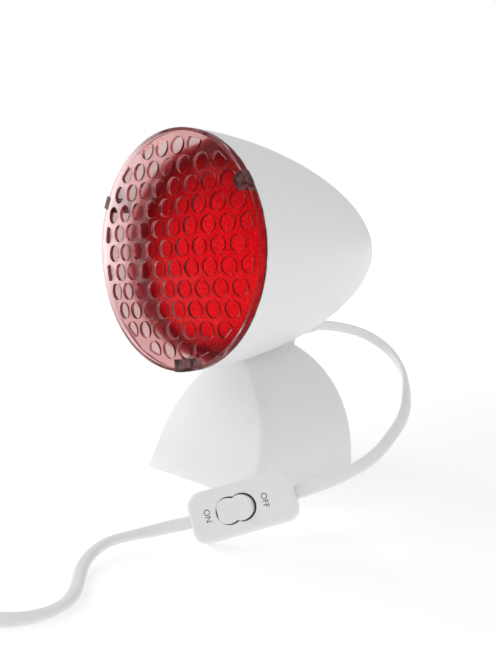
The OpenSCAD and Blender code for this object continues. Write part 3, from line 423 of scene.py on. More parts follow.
# %% Finishes of this lamp, by the record's slots
metal = {"Metallic": 1.0}
finishes = {
    "white_shell": finish("white satin plastic", (0.82, 0.82, 0.825), 0.34, 0.006, 1400),
    "switch_white": finish("white switch plastic", (0.86, 0.86, 0.86), 0.3, 0.005, 1600),
    "plug_white": finish("white plug plastic", (0.82, 0.82, 0.82), 0.4, 0.01, 1200, 0.03),
    "white_cord": finish("white flex", (0.84, 0.84, 0.84), 0.38, 0.012, 1500, 0.03),
    "white_rubber": finish("soft white rubber", (0.78, 0.78, 0.775), 0.55, 0.015, 1500, 0.04),
    "clear_guard": finish("clear guard plastic", (0.97, 0.71, 0.72), 0.07, 0.01, 700, 0.01,
                          wander=0.02, IOR=1.2, Transmission_Weight=1.0,
                          Specular_Tint=(0.15, 0.15, 0.15, 1)),
    # The red glass glows faintly though the bulb is not lit: painted light.
    "red_glass": finish("stippled red glass", (0.72, 0.008, 0.014), 0.22, 0.15, 650, 0.35, 0.9,
                        cells=True, IOR=1.45, Specular_IOR_Level=0.02, Emission_Strength=0.3),
    "black_plastic": finish("black moulding", (0.016, 0.015, 0.015), 0.38, 0.2, 1200, 0.04),
    "grey_plastic": finish("grey moulding", (0.46, 0.46, 0.47), 0.5, 0.03, 900, 0.05),
    "steel": finish("zinc plated steel", (0.62, 0.62, 0.64), 0.3, 0.05, 1800, 0.02, **metal),
    "brass": finish("brass", (0.72, 0.5, 0.2), 0.28, 0.06, 1600, 0.02, **metal),
    "plated_brass": finish("plated brass", (0.68, 0.66, 0.6), 0.22, 0.04, 1600, **metal),
    "solder": finish("dull solder", (0.52, 0.52, 0.53), 0.5, 0.1, 700, 0.08, **metal),
    "tungsten": finish("wound wire", (0.22, 0.22, 0.23), 0.4, 0.1, 3000, 0.1, **metal),
    "cast_iron": finish("cast iron", (0.08, 0.08, 0.085), 0.7, 0.2, 420, 0.2, 0.6),
    "silvered_glass": finish("silvered glass", (0.82, 0.82, 0.83), 0.08, 0.02, 500, 0.01,
                             wander=0.02, **metal),
    "clear_glass": finish("clear glass", (0.9, 0.92, 0.92), 0.04, 0.01, 400, 0.01, wander=0.01,
                          Transmission_Weight=0.9, IOR=1.5),
    "black_glass": finish("black glass", (0.012, 0.012, 0.014), 0.08, 0.1, 600, 0.02),
    "porcelain": finish("glazed porcelain", (0.74, 0.72, 0.66), 0.14, 0.02, 300, 0.02),
    "brown_insulation": finish("brown insulation", (0.09, 0.035, 0.012), 0.45, 0.08, 1500),
    "blue_insulation": finish("blue insulation", (0.015, 0.06, 0.25), 0.45, 0.08, 1500),
    "fibre": finish("pressed fibre", (0.34, 0.2, 0.08), 0.75, 0.2, 800, 0.12, 0.6),
    "rubber_pad": finish("dense foam pad", (0.02, 0.02, 0.021), 0.85, 0.2, 1300, 0.15, 0.6),
}

# %% [markdown]
# The bulb's face carries painted light and shade: its colour is brightest where the silvered
# bowl would send daylight back through the red glass to the viewer, and sinks to a painted dark
# red at the rim. Two soft balls of gradient texture, one on the bulb's axis and one low on its
# right, set how much painted light there is. Each grain of the pressed glass then gets a painted
# highlight in its middle and painted shade at its edge. The same colour also drives a faint glow.

# %% Painted light and shade on the red face
# The dark red is painted shade at the rim, the bright red painted light on the axis.
RED_PAINTED_SHADE, RED_PAINTED_LIGHT = (0.07, 0.001, 0.002, 1), (0.82, 0.009, 0.015, 1)
CELL_EDGE, CELL_PAINTED_HIGHLIGHT, CELL_PAINTED_SHADE = 0.6, 1.35, 0.7
tree = finishes["red_glass"].node_tree
# Two soft balls set where the face is painted bright; outside them it falls to painted shade.
painted_light_on_axis = factor_in_ball(tree, (0, -0.042, 0.1455), radius=0.064, low=0.02, high=0.25, dark=0.2)
painted_light_low_right = factor_in_ball(tree, (0.014, -0.042, 0.130), radius=0.1, low=0.2, high=0.75, dark=0.2)
# Each grain gets a painted highlight in its middle and painted shade at its edge.
grain_painted_light = add_node(tree, "ShaderNodeMapRange", From_Max=CELL_EDGE, To_Min=CELL_PAINTED_HIGHLIGHT,
                To_Max=CELL_PAINTED_SHADE)
tree.links.new(tree.nodes["Voronoi Texture"].outputs["Distance"], grain_painted_light.inputs["Value"])
# This ramp turns the painted light and shade into the face's colour.
depth = add_node(tree, "ShaderNodeValToRGB")
depth.color_ramp.elements[0].color, depth.color_ramp.elements[1].color = RED_PAINTED_SHADE, RED_PAINTED_LIGHT
tree.links.new(product(tree, product(tree, painted_light_on_axis, painted_light_low_right), grain_painted_light.outputs["Result"]),
               depth.inputs["Fac"])
# The painted colour also drives the glow of the face.
for socket in ("Base Color", "Emission Color"):
    tree.links.new(depth.outputs["Color"], tree.nodes["Principled BSDF"].inputs[socket])

# %% [markdown]
# Four more finishes belong to what is seen in and around the guard. The edges of its holes get a
# dark, nearly clear finish with no sheen: painted shade. Its left third lets less light through,
# so its pale pink shows: a painted reflection of the bright room. The white wall round the bulb is
# painted red, more so the deeper it lies, and glows faintly: painted red light from the glass and
# painted shade in the recess. The clips are smoked plastic: dark where red lies behind them, pale
# where white does.

# %% Guard edges in painted shade, smoked clips, a painted reflection and the wall's painted light
# The cut edges of the holes get a dark, nearly clear finish: painted shade.
guard_edge_painted_shade = finish("cut edge of the guard in painted shade", (0.16, 0.04, 0.045), 0.3, 0.02, 900, 0.02, IOR=1.05,
                    Transmission_Weight=0.85, Specular_IOR_Level=0.0)
smoked = finish("smoked clear clip", (0.26, 0.2, 0.2), 0.12, 0.05, 900, 0.02, wander=0.03,
                IOR=1.3, Transmission_Weight=0.9)
# The inner wall glows faintly though it is no lamp: painted light.
inner_wall_painted_light = finish("inner wall of the head with painted red light", (0.86, 0.8, 0.78), 0.5, 0.006, 1400,
                    Emission_Strength=0.38)
# Transmission falls over the guard's left third, so its pale colour shows: a painted reflection of
# the bright room.
PAINTED_REFLECTION_WAY, PAINTED_REFLECTION_FULL, PAINTED_REFLECTION_GONE, CLARITY_UNDER_PAINTED_REFLECTION = (1, 0, -0.15), -0.096, -0.05, 0.2
tree = finishes["clear_guard"].node_tree
clarity = factor_along(tree, object_place(tree), PAINTED_REFLECTION_WAY, PAINTED_REFLECTION_FULL, PAINTED_REFLECTION_GONE,
                       interpolation_type="SMOOTHSTEP", To_Min=CLARITY_UNDER_PAINTED_REFLECTION)
tree.links.new(clarity, tree.nodes["Principled BSDF"].inputs["Transmission Weight"])
# The wall runs from white to a deep, dark red the deeper it lies: painted red light from the glass
# and painted shade in the recess.
PAINTED_BOUNCE_WAY, PAINTED_BOUNCE_NONE, PAINTED_BOUNCE_FULL = (-0.2, 1, -0.1), -0.0586, -0.0326
WALL_WHITE, WALL_PAINTED_DEEP = (0.86, 0.8, 0.78, 1), (0.2, 0.012, 0.016, 1)
WALL_PAINTED_BETWEEN = {0.5: (0.84, 0.64, 0.62, 1), 0.68: (0.44, 0.06, 0.07, 1)}
tree = inner_wall_painted_light.node_tree
painted_bounce = add_node(tree, "ShaderNodeValToRGB")
stops = painted_bounce.color_ramp.elements
stops[0].color, stops[1].color = WALL_WHITE, WALL_PAINTED_DEEP
for position, colour in WALL_PAINTED_BETWEEN.items():
    stops.new(position).color = colour
tree.links.new(factor_along(tree, object_place(tree), PAINTED_BOUNCE_WAY, PAINTED_BOUNCE_NONE, PAINTED_BOUNCE_FULL),
               painted_bounce.inputs["Fac"])
for socket in ("Base Color", "Emission Color"):
    tree.links.new(painted_bounce.outputs["Color"], tree.nodes["Principled BSDF"].inputs[socket])

# %% Every CAD node gets its slot's finish
for row in frame["record"]["subparts"]:
    part = nodes[row["node"]]
    for holder in part.material_slots:
        holder.link = "OBJECT"
        holder.material = finishes[row["material_slot"]]
nodes["guard_clips"].material_slots[0].material = smoked


def dress(piece, slot, body, *stands_for):
    piece.data.materials.clear()
    piece.data.materials.append(finishes[slot])
    if body:
        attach(piece, body)
    if stands_for:
        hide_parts(*stands_for)
    print(piece.name, len(piece.data.vertices), "vertices")


# %% The flex from the head is tied to no body, the flex to the plug goes with the base
dress(lamp_flex, "white_cord", None, "cord_inner_end", "cord_lamp_side")
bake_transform(lamp_flex)
dress(plug_flex, "white_cord", "base", "cord_plug_side", "cord_coil")

# %% [markdown]
# ## The head shell
# The head is a bell, blown or moulded from thick white plastic: nearly straight-sided at the
# front, closing in a blunt nose at the back. Its outline is drawn once as a line and spun round
# the bulb's axis. The wall's inner line is spun with it, so the shell is closed at the rim.

# %% Bell outline and spun shell
HEAD_RADIUS, HEAD_LENGTH, HEAD_WALL = 0.0722, 0.171, 0.0022
BELL_POWER, BELL_SWELL, NOSE_CROWDING, ROUND_STEPS = 1.71, 0.599, 1.7, 128


def bell(s, radius, length):
    return radius * (1 - min(max(s / length, 0), 1) ** BELL_POWER) ** BELL_SWELL


def bell_line(radius, length, count=56):
    stations = [length * (1 - (1 - i / count) ** NOSE_CROWDING) for i in range(count + 1)]
    return [(bell(s, radius, length), s) for s in stations]


inner = (HEAD_RADIUS - HEAD_WALL, HEAD_LENGTH - HEAD_WALL)
bm = bmesh.new()
add_disc_stack(bm, bell_line(HEAD_RADIUS, HEAD_LENGTH)[::-1] + bell_line(*inner), ROUND_STEPS)
head_shell = as_piece(bm, "head_bell", head_place)

# %% [markdown]
# Inside the shell stand bosses: two long ones at the back carry the bulb's bracket, two short
# ones beside the outlet take the cord clamp, and two low pads take the screws of the neck.

# %% Bosses and outlet inside the shell
BRACKET_BOSS, BRACKET_SIDE, BRACKET_FROM, BRACKET_TO = 0.0038, 0.032, 0.1276, 0.1536
CLAMP_BOSS, CLAMP_AT, CLAMP_TALL = 0.0024, (0.0066, -0.0034, -0.0395), 0.012
NECK_PAD, NECK_PAD_SINK, NECK_PAD_TALL, NECK_SCREWS = 0.0034, 0.0012, 0.004, (0.075, 0.084)
OUTLET_BORE, OUTLET_ROUND, OUTLET_INNER, OUTLET_OUTER = 0.0046, 0.0059, -0.033, -0.016
SKIN = 0.0005
lying = turned(-math.pi / 2, "X")
bm = bmesh.new()
for side in (-1, 1):
    add_rod(bm, BRACKET_BOSS, BRACKET_FROM, BRACKET_TO, (side * BRACKET_SIDE, 0), head_place)
    clamp = exit_place @ Matrix.Translation((side * CLAMP_AT[0], *CLAMP_AT[1:]))
    add_rod(bm, CLAMP_BOSS, 0, CLAMP_TALL, place=clamp @ lying)
for station in NECK_SCREWS:
    depth_there = bell(station, *inner) - NECK_PAD_SINK
    pad = head_place @ Matrix.Translation((0, depth_there, station))
    add_rod(bm, NECK_PAD, 0, NECK_PAD_TALL, place=pad @ lying)
fittings = as_piece(bm, "head_bosses")
bm = bmesh.new()
add_disc_stack(bm, bell_line(HEAD_RADIUS - SKIN, HEAD_LENGTH - SKIN)[::-1] + [(0, 0)], 96)
carve(fittings, as_piece(bm, "bell_tool", head_place), "INTERSECT")
bm = bmesh.new()
add_disc_stack(bm, [(OUTLET_BORE, OUTLET_INNER), (OUTLET_ROUND, OUTLET_INNER),
                    (OUTLET_ROUND, OUTLET_OUTER), (OUTLET_BORE, OUTLET_OUTER),
                    (OUTLET_BORE, OUTLET_INNER)], 48)
outlet = as_piece(bm, "head_outlet", exit_place)
dress(head_shell, "white_shell", "head", "head_shell")
dress(fittings, "white_shell", "head")
dress(outlet, "white_shell", "head")

# %% The inside of the shell takes the finish with painted red light and shade
# Inside faces in front of this depth take the painted red light and shade.
PAINTED_BOUNCE_ENDS_Y = 0.02
head_shell.data.materials.append(inner_wall_painted_light)
axis_way = head_place.to_3x3() @ Vector((0, 0, 1))
for face in head_shell.data.polygons:
    out = face.center - RIM
    out -= out.dot(axis_way) * axis_way
    inside = out.dot(face.normal) < 0 and face.center.y < PAINTED_BOUNCE_ENDS_Y
    face.material_index = 1 if inside else 0
round_edges(head_shell, 0.0005)

# %% [markdown]
# ## The bulb's face
# The CAD lens is a plain cap with a sharp rim. Pressed glass has a round shoulder, so the face
# is spun again inside that outline, with the same wall, as a cap that rolls over into its side.

# %% Lens with a round shoulder
LENS_FRONT, LENS_BACK, BULB_RADIUS, LENS_RISE, LENS_WALL = 0.0115, 0.0245, 0.061, 0.008, 0.0035
SHOULDER_FROM, INSIDE_TO, EDGE_WALL = 0.054, 0.052, 0.0024
FACE_RINGS, SHOULDER_RINGS, INSIDE_RINGS = 24, 12, 16
lens_ball = (BULB_RADIUS ** 2 + LENS_RISE ** 2) / (2 * LENS_RISE)


def cap_at(r, ball_radius):
    return LENS_FRONT + lens_ball - math.sqrt(ball_radius ** 2 - r * r)


def cap_line(reach, rings, ball_radius):
    radii = [reach * k / rings for k in range(rings + 1)]
    return [(r, cap_at(r, ball_radius)) for r in radii]


face_line = cap_line(SHOULDER_FROM, FACE_RINGS, lens_ball)
shoulder_start = face_line[-1][1]
for k in range(1, SHOULDER_RINGS + 1):
    a = math.radians(90 / SHOULDER_RINGS * k)
    face_line.append((SHOULDER_FROM + (BULB_RADIUS - SHOULDER_FROM) * math.sin(a),
                      LENS_BACK - (LENS_BACK - shoulder_start) * math.cos(a)))
inside_line = cap_line(INSIDE_TO, INSIDE_RINGS, lens_ball - LENS_WALL)[::-1]
bm = bmesh.new()
add_disc_stack(bm, face_line + [(BULB_RADIUS - EDGE_WALL, LENS_BACK)] + inside_line, ROUND_STEPS)
bulb_face = as_piece(bm, "bulb_face", head_place)
dress(bulb_face, "red_glass", "head", "bulb_lens")

# %% [markdown]
# ## The guard
# The guard is a shallow dome of clear plastic with a short skirt and 85 round holes on a
# honeycomb grid. All the red behind it is the bulb's face, and its bounce on the white wall. The
# holes could be cut with 85 booleans, which leaves messy faces. Here a flat outline with round
# islands is filled instead, then bent onto the dome, the skirt is pulled down from its edge, and
# Solidify gives the whole sheet its wall, holes included.

# %% Honeycomb of holes
GUARD_RADIUS, SKIRT, DOME_RADIUS, GUARD_WALL = 0.0723, 0.0056, 0.322, 0.0022
HOLE_PITCH, HOLE_RADIUS, FIELD_RADIUS = 0.0139, 0.0052, 0.0662
HOLE_TURN = math.radians(-6.5)
FIELD_AT = Vector((0.0016, -0.0012))
FLAT_RADIUS = GUARD_RADIUS - 0.0009
SKIRT_RINGS = ((GUARD_RADIUS - 0.00025, -SKIRT + 0.0003), (GUARD_RADIUS, -SKIRT + 0.001),
               (GUARD_RADIUS, -0.0003))


def hole_centres():
    for j in range(-5, 6):
        for i in range(-5, 6):
            x = (i + (0 if j % 2 == 0 else 0.5)) * HOLE_PITCH
            y = j * HOLE_PITCH * math.sqrt(3) / 2
            if math.hypot(x, y) < FIELD_RADIUS + 0.0005:
                yield Matrix.Rotation(HOLE_TURN, 2) @ Vector((x, y))


def hole_outline(centre, sides=28):
    """Round, or cut straight by the edge of the field where the hole crosses it."""
    ring = []
    for k in range(sides):
        a = 2 * math.pi * k / sides
        p = centre + HOLE_RADIUS * Vector((math.cos(a), math.sin(a)))
        if p.length > FIELD_RADIUS:
            p = p * (FIELD_RADIUS / p.length)
        ring.append(p)
    return ring


def dome_at(r):
    rise = DOME_RADIUS - math.sqrt(DOME_RADIUS ** 2 - GUARD_RADIUS ** 2)
    return -SKIRT - rise + DOME_RADIUS - math.sqrt(DOME_RADIUS ** 2 - r * r)


bm = bmesh.new()
bmesh.ops.create_circle(bm, segments=ROUND_STEPS, radius=FLAT_RADIUS)
for centre in hole_centres():
    ring = [bm.verts.new((p.x + FIELD_AT.x, p.y + FIELD_AT.y, 0)) for p in hole_outline(centre)]
    for a, b in zip(ring, ring[1:] + ring[:1]):
        bm.edges.new((a, b))
bmesh.ops.remove_doubles(bm, verts=bm.verts, dist=1e-5)
bmesh.ops.triangle_fill(bm, edges=bm.edges, use_beauty=True, use_dissolve=False)
print("guard sheet has", len(bm.faces), "faces round", len(list(hole_centres())), "holes")


# %% Dome, skirt and wall
def face_forwards(bm):
    bmesh.ops.recalc_face_normals(bm, faces=bm.faces)
    if sum(f.normal.z for f in bm.faces) > 0:
        bmesh.ops.reverse_faces(bm, faces=bm.faces)


for vert in bm.verts:
    vert.co.z = dome_at(math.hypot(vert.co.x, vert.co.y))
face_forwards(bm)
edge = [e for e in bm.edges if e.is_boundary
        and min(v.co.xy.length for v in e.verts) > GUARD_RADIUS - 0.002]
for radius, station in SKIRT_RINGS:
    made = bmesh.ops.extrude_edge_only(bm, edges=edge)
    edge = edges_of(made)
    for vert in verts_of(made):
        vert.co.xy = vert.co.xy.normalized() * radius
        vert.co.z = station
face_forwards(bm)
guard = as_piece(bm, "guard_dome", head_place, outward=False)
wall = guard.modifiers.new("wall", "SOLIDIFY")
wall.thickness, wall.offset, wall.use_even_offset = GUARD_WALL, -1, True
wall.material_offset_rim = 1
dress(guard, "clear_guard", "head", "front_guard")
# The rim faces of the wall, which are the holes' cut edges, take the painted shade.
guard.data.materials.append(guard_edge_painted_shade)
round_edges(guard, 0.0003, 2, 50)

# %% [markdown]
# ## The base
# The base is a small vault: nearly square on the table, with a low arch to the front, a steep
# back and sides that lean in. Each level is a rounded rectangle, so the vault is pulled up ring
# by ring from its foot, and each ring is laid on the outline for that height. The head's own
# swept shape is then cut out of it, which leaves the saddle that the head rocks in.

# %% Levels of the vault
HALF_WIDE, FRONT_Y, REAR_Y, TOP_Y = 0.0515, -0.04875, 0.04875, -0.009
VAULT_HEIGHT, VAULT_CORNER, BASE_WALL, LIFT = 0.0885, 0.007, 0.0024, 0.001
SIDE_LEAN, FRONT_LEAN, REAR_LEAN = (2.74, 1.25), (0.8, 0.893), (6.83, 0.483)
CORNER_STEPS, VAULT_LEVELS, TOP_SHARE, TOP_CROWDING = 12, 48, 0.985, 1.5


def fade(share, power, swell):
    return max(1 - min(share, 1) ** power, 0) ** swell


def vault_level(z, height, wide, front, rear, corner):
    wide = wide * fade(z / height, *SIDE_LEAN)
    front = front * fade(z / height, *FRONT_LEAN)
    rear = rear * fade(z / height, *REAR_LEAN)
    corner = min(corner, wide * 0.95, (front + rear) * 0.475)
    points = []
    for quarter in range(4):
        for k in range(CORNER_STEPS + 1):
            a = math.radians(quarter * 90 + k * 90 / CORNER_STEPS)
            x = (1 if quarter in (0, 3) else -1) * (wide - corner)
            y = TOP_Y + (rear - corner if quarter < 2 else corner - front)
            points.append((x + corner * math.cos(a), y + corner * math.sin(a), z + LIFT))
    return points


def vault(name, shrink=0.0, lower=0.0):
    """The base's outer shape, or one that lies `shrink` inside it and starts `lower` down."""
    height, wide = VAULT_HEIGHT - shrink, HALF_WIDE - shrink
    front, rear = TOP_Y - FRONT_Y - shrink, REAR_Y - TOP_Y - shrink
    corner = VAULT_CORNER - shrink
    bm = bmesh.new()
    foot = [bm.verts.new(p) for p in vault_level(0, height, wide, front, rear, corner)]
    edges = [bm.edges.new(pair) for pair in zip(foot, foot[1:] + foot[:1])]
    bmesh.ops.contextual_create(bm, geom=edges)
    for vert in foot:
        vert.co.z -= lower
    for level in range(1, VAULT_LEVELS + 1):
        z = height * TOP_SHARE * (1 - (1 - level / VAULT_LEVELS) ** TOP_CROWDING)
        made = bmesh.ops.extrude_edge_only(bm, edges=edges)
        edges, fresh = edges_of(made), set(verts_of(made))
        ring = [e.other_vert(v) for v in foot for e in v.link_edges if e.other_vert(v) in fresh]
        for vert, p in zip(ring, vault_level(z, height, wide, front, rear, corner)):
            vert.co = p
        foot = ring
    bmesh.ops.contextual_create(bm, geom=edges)
    return as_piece(bm, name)


# %% Hollow vault, cheeks and saddle
base_shell = vault("base_vault")
carve(base_shell, vault("hollow_tool", shrink=BASE_WALL, lower=0.002))
SLOT_HALF, CHEEK = 0.00705, 0.0026
CHEEK_FRONT_LOW, CHEEK_REAR_HIGH = (0.004, 0.058), (0.0455, 0.078)
bm = bmesh.new()
for low, high in ((-SLOT_HALF - CHEEK, -SLOT_HALF), (SLOT_HALF, SLOT_HALF + CHEEK)):
    add_box(bm, (low, *CHEEK_FRONT_LOW), (high, *CHEEK_REAR_HIGH))
cheeks = as_piece(bm, "base_cheeks")
carve(cheeks, vault("cheek_tool"), "INTERSECT")
bm = bmesh.new()
slot_line = [(-0.001, 0.1), (0.002, 0.082), (0.005, 0.077), (0.009, 0.0705), (0.0135, 0.063),
             (0.017, 0.0605), (0.08, 0.0605), (0.08, 0.1)]
pull_face(bm, [bm.verts.new((-SLOT_HALF, y, z)) for y, z in slot_line], (2 * SLOT_HALF, 0, 0))
carve(base_shell, as_piece(bm, "slot_tool"))

# %% The head sweeps its saddle into the base
GAP, SWEPT_FRONT = 0.0008, -0.0056
OUTLET_SWEEP, SWEEP_FROM, SWEEP_TO = 0.0064, -0.044, 0.016
for tilt in (0, 6.25, 12.5, 18.75, 25):
    lean = (Matrix.Translation(TILT_AXIS) @ turned(-math.radians(tilt), "X")
            @ Matrix.Translation(-TILT_AXIS))
    for target in (base_shell, cheeks):
        bm = bmesh.new()
        line = [(0, HEAD_LENGTH + GAP)] + bell_line(HEAD_RADIUS + GAP, HEAD_LENGTH + GAP)[::-1][1:]
        line += [(HEAD_RADIUS + GAP, SWEPT_FRONT), (0, SWEPT_FRONT)]
        add_disc_stack(bm, line, ROUND_STEPS)
        carve(target, as_piece(bm, "head_tool", lean @ head_place))
    bm = bmesh.new()
    add_rod(bm, OUTLET_SWEEP, SWEEP_FROM, SWEEP_TO, place=lean @ exit_place)
    carve(base_shell, as_piece(bm, "outlet_tool"))
dress(base_shell, "white_shell", "base", "base_shell")
dress(cheeks, "white_shell", "base")
base_box = (base_shell.bound_box[0], base_shell.bound_box[6])
print("base box in mm", [round(v * 1000, 1) for corner in base_box for v in corner])

# %% [markdown]
# ## The inline switch
# The switch is a rounded box in two halves with a dog-bone opening, in which a rocker with two
# round pads lies. A cube with bevelled edges gives the halves, and a cut at the seam parts them.
# ON and OFF are printed beside the pads, reading across the switch.

# %% Two halves of the case
SWITCH_SIZE = (0.017, 0.056, 0.027)
SWITCH_CORNER, SWITCH_ROUND, SWITCH_WALL = 0.007, 0.0026, 0.0018
SEAM_HALF, WAY_CLEAR, WAY_REACH, WAY_ROUND = 0.00004, 0.0002, 0.004, 0.0019
ROCKER_Y, PIN_X, ROCK = -0.0033, 0.003, math.radians(8)
# radius of each disc, its distance from the middle, half the width of the bar, low, high
OPENING, PADS = (0.0072, 0.0035, 0.0065, 0.0002, 0.0095), (0.0066, 0.0034, 0.0057, 0.0012, 0.0105)


def rounded_case(shrink, corner, edge, segments=6):
    bm = bmesh.new()
    half = [size / 2 - shrink for size in SWITCH_SIZE]
    add_box(bm, [-h for h in half], half)
    upright = [e for e in bm.edges if abs(e.verts[0].co.x - e.verts[1].co.x) > half[0]]
    bevel(bm, upright, corner, 2 * segments)
    flat = [e for e in bm.edges if abs(e.verts[0].co.x - e.verts[1].co.x) < WELD]
    bevel(bm, flat, edge, segments)
    return bm


def half_case(name, front):
    way = 1 if front else -1
    bm = rounded_case(0, SWITCH_CORNER, SWITCH_ROUND)
    cut = bmesh.ops.bisect_plane(bm, geom=bm.verts[:] + bm.edges[:] + bm.faces[:], dist=1e-7,
                                 plane_co=(way * SEAM_HALF, 0, 0), plane_no=(way, 0, 0),
                                 clear_inner=True)
    rim = [g for g in cut["geom_cut"] if isinstance(g, bmesh.types.BMEdge)]
    bmesh.ops.contextual_create(bm, geom=rim)
    case = as_piece(bm, name, switch_place)
    room = rounded_case(SWITCH_WALL, SWITCH_CORNER - SWITCH_WALL, 0.001, 3)
    carve(case, as_piece(room, "room_tool", switch_place))
    for end in (-1, 1):
        bm = bmesh.new()
        size = (FLEX_THIN / 2 + WAY_CLEAR, WAY_REACH, FLEX_WIDE / 2 + WAY_CLEAR)
        add_box(bm, [-v for v in size], size, Matrix.Translation((0, end * SWITCH_HALF, 0)))
        long = [e for e in bm.edges if abs(e.verts[0].co.y - e.verts[1].co.y) > WAY_REACH]
        bevel(bm, long, WAY_ROUND, 5)
        carve(case, as_piece(bm, "way_tool", switch_place))
    return case


def dog_bone(radius, reach, waist, low, high, sides=40):
    """Two discs and the bar between them, as one closed outline pulled up along X."""
    bm = bmesh.new()
    ring = []
    open_angle = math.pi - math.asin(waist / radius)
    for end in (1, -1):
        for k in range(sides + 1):
            a = open_angle * (2 * k / sides - 1)
            if radius * math.cos(a) > -reach:
                ring.append(bm.verts.new((low, end * (reach + radius * math.cos(a)),
                                          end * radius * math.sin(a))))
    pull_face(bm, ring, (high - low, 0, 0))
    bmesh.ops.translate(bm, vec=(0, ROCKER_Y, 0), verts=bm.verts)
    return bm


front_case = half_case("switch_front", True)
back_case = half_case("switch_back", False)
carve(front_case, as_piece(dog_bone(*OPENING), "opening_tool", switch_place))
round_edges(front_case, 0.0002, 2, 50)
dress(front_case, "switch_white", "base", "switch_front_case")
dress(back_case, "switch_white", "base", "switch_back_case")

# %% Rocker with two pads
pressed = (Matrix.Translation((PIN_X, ROCKER_Y, 0)) @ turned(-ROCK, "Z")
           @ Matrix.Translation((-PIN_X, -ROCKER_Y, 0)))
rocker = as_piece(dog_bone(*PADS), "rocker_pads", switch_place @ pressed)
PROFILE_HALF = 0.010
side_line = [(0.0015, -0.010), (0.005, -0.010), (0.009, -0.0094), (0.0099, -0.0084),
             (0.0102, -0.0068), (0.0101, -0.0055), (0.0095, -0.0037), (0.0089, -0.0018),
             (0.0087, 0)]
bm = bmesh.new()
outline = side_line + [(x, -y) for x, y in side_line[-2::-1]]
ring = [bm.verts.new((x, y + ROCKER_Y, -PROFILE_HALF)) for x, y in outline]
pull_face(bm, ring, (0, 0, 2 * PROFILE_HALF))
carve(rocker, as_piece(bm, "profile_tool", switch_place @ pressed), "INTERSECT", 28)
round_edges(rocker, 0.0004, 3, 30)
dress(rocker, "switch_white", "rocker", "switch_rocker")

# %% ON and OFF
ink = finish("grey print", (0.1, 0.1, 0.105), 0.6, 0.1, 2000)
LETTER_SIZE, INK_HALF, INK_FACE_X, INK_Z = 0.0044, 0.00004, 0.00851, 0.0003
for word, y in (("ON", -0.0185), ("OFF", 0.0122)):
    writing = bpy.data.curves.new("label_" + word.lower(), "FONT")
    writing.body, writing.size = word, LETTER_SIZE
    writing.align_x, writing.align_y = "CENTER", "CENTER"
    writing.extrude = INK_HALF
    typed = bpy.data.objects.new("typed", writing)
    scene.collection.objects.link(typed)
    bpy.context.view_layer.update()
    letters = bpy.data.meshes.new_from_object(typed)
    bpy.data.objects.remove(typed)
    label = bpy.data.objects.new("label_" + word.lower(), letters)
    scene.collection.objects.link(label)
    # text right runs down the switch's width, text up runs along it, text front looks out
    lie = Matrix(((0, 0, 1, INK_FACE_X), (0, 1, 0, y), (-1, 0, 0, INK_Z), (0, 0, 0, 1)))
    letters.transform(switch_place @ lie)
    letters.materials.clear()
    letters.materials.append(ink)
    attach(label, "base")
    print(label.name, [round(v * 1000, 2) for v in label.dimensions])

# %% [markdown]
# ## Floor and light
# The photograph is a catalogue picture: a white sweep, a broad soft light from the front left, a
# tall bright panel further left, and almost nothing from the right. The room straight in front
# stays dark, so the middle of the guard mirrors nothing and the red shows through it clean. The
# floor glows a little, and more with distance, so it runs into the white behind it unseen.

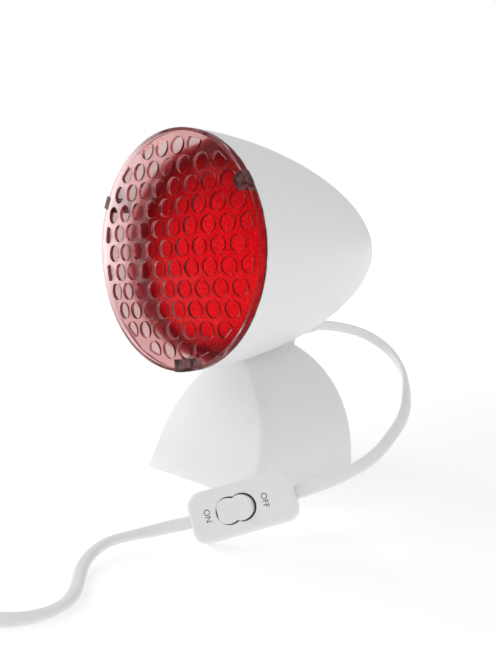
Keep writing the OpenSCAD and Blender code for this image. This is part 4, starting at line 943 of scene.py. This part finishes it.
# %% Floor that fades into white
FLOOR_RADIUS = 4
GLOW_NEAR_AT, GLOW_FAR_AT, GLOW_NEAR, GLOW_FAR = 0.25, 1.2, 0.36, 0.6
bm = bmesh.new()
bmesh.ops.create_circle(bm, cap_ends=True, segments=64, radius=FLOOR_RADIUS)
floor = as_piece(bm, "floor", outward=False)
sweep = finish("white floor", (0.8, 0.8, 0.8), 0.9, 0.0, 200, 0.0, Emission_Color=(1, 1, 1, 1))
tree = sweep.node_tree
away = add_node(tree, "ShaderNodeVectorMath", operation="LENGTH")
tree.links.new(object_place(tree), away.inputs[0])
glow = add_node(tree, "ShaderNodeMapRange", From_Min=GLOW_NEAR_AT, From_Max=GLOW_FAR_AT,
                To_Min=GLOW_NEAR, To_Max=GLOW_FAR)
tree.links.new(away.outputs["Value"], glow.inputs["Value"])
tree.links.new(glow.outputs["Result"], tree.nodes["Principled BSDF"].inputs["Emission Strength"])
floor.data.materials.append(sweep)

# %% World with a dark patch, white behind the lamp
ROOM_LIGHT, DARK_PATCH, PATCH_FROM, PATCH_FULL = 0.675, 0.1, 0.6, 0.9
PATCH_WAY = Vector((-0.5, -0.86, 0.12)).normalized()
world = bpy.data.worlds.new("studio")
scene.world = world
world.use_nodes = True
tree = world.node_tree
sky = tree.nodes["Background"]
sky.inputs["Color"].default_value = (1, 1, 1, 1)
compass = add_node(tree, "ShaderNodeTexCoord")
lighting = factor_along(tree, compass.outputs["Generated"], PATCH_WAY, PATCH_FROM, PATCH_FULL,
                        interpolation_type="SMOOTHSTEP", To_Min=ROOM_LIGHT, To_Max=DARK_PATCH)
seen = add_node(tree, "ShaderNodeLightPath")
level = add_node(tree, "ShaderNodeMix", B=1.0)
tree.links.new(seen.outputs["Is Camera Ray"], level.inputs["Factor"])
tree.links.new(lighting, level.inputs["A"])
tree.links.new(level.outputs["Result"], sky.inputs["Strength"])
scene.view_settings.view_transform = "Standard"


# %% Soft lights
def soft_light(name, azimuth, elevation, distance, wide, tall, power):
    """Azimuth 0 stands in front of the lamp, 90 to its right."""
    lamp = bpy.data.lights.new(name, "AREA")
    lamp.shape, lamp.size, lamp.size_y, lamp.energy = "RECTANGLE", wide, tall, power
    stand = bpy.data.objects.new(name, lamp)
    scene.collection.objects.link(stand)
    a, e = math.radians(azimuth), math.radians(elevation)
    way = Vector((math.sin(a) * math.cos(e), -math.cos(a) * math.cos(e), math.sin(e)))
    stand.location = Vector((0, 0, 0.1)) + way * distance
    stand.rotation_mode = "QUATERNION"
    stand.rotation_quaternion = (-way).to_track_quat("-Z", "Y")


soft_light("key", azimuth=-25, elevation=35, distance=1.5, wide=0.9, tall=0.9, power=5)
soft_light("left panel", azimuth=-72, elevation=6, distance=1.1, wide=0.7, tall=1.1, power=7)
soft_light("right fill", azimuth=68, elevation=8, distance=1.2, wide=0.8, tall=0.8, power=0.3)
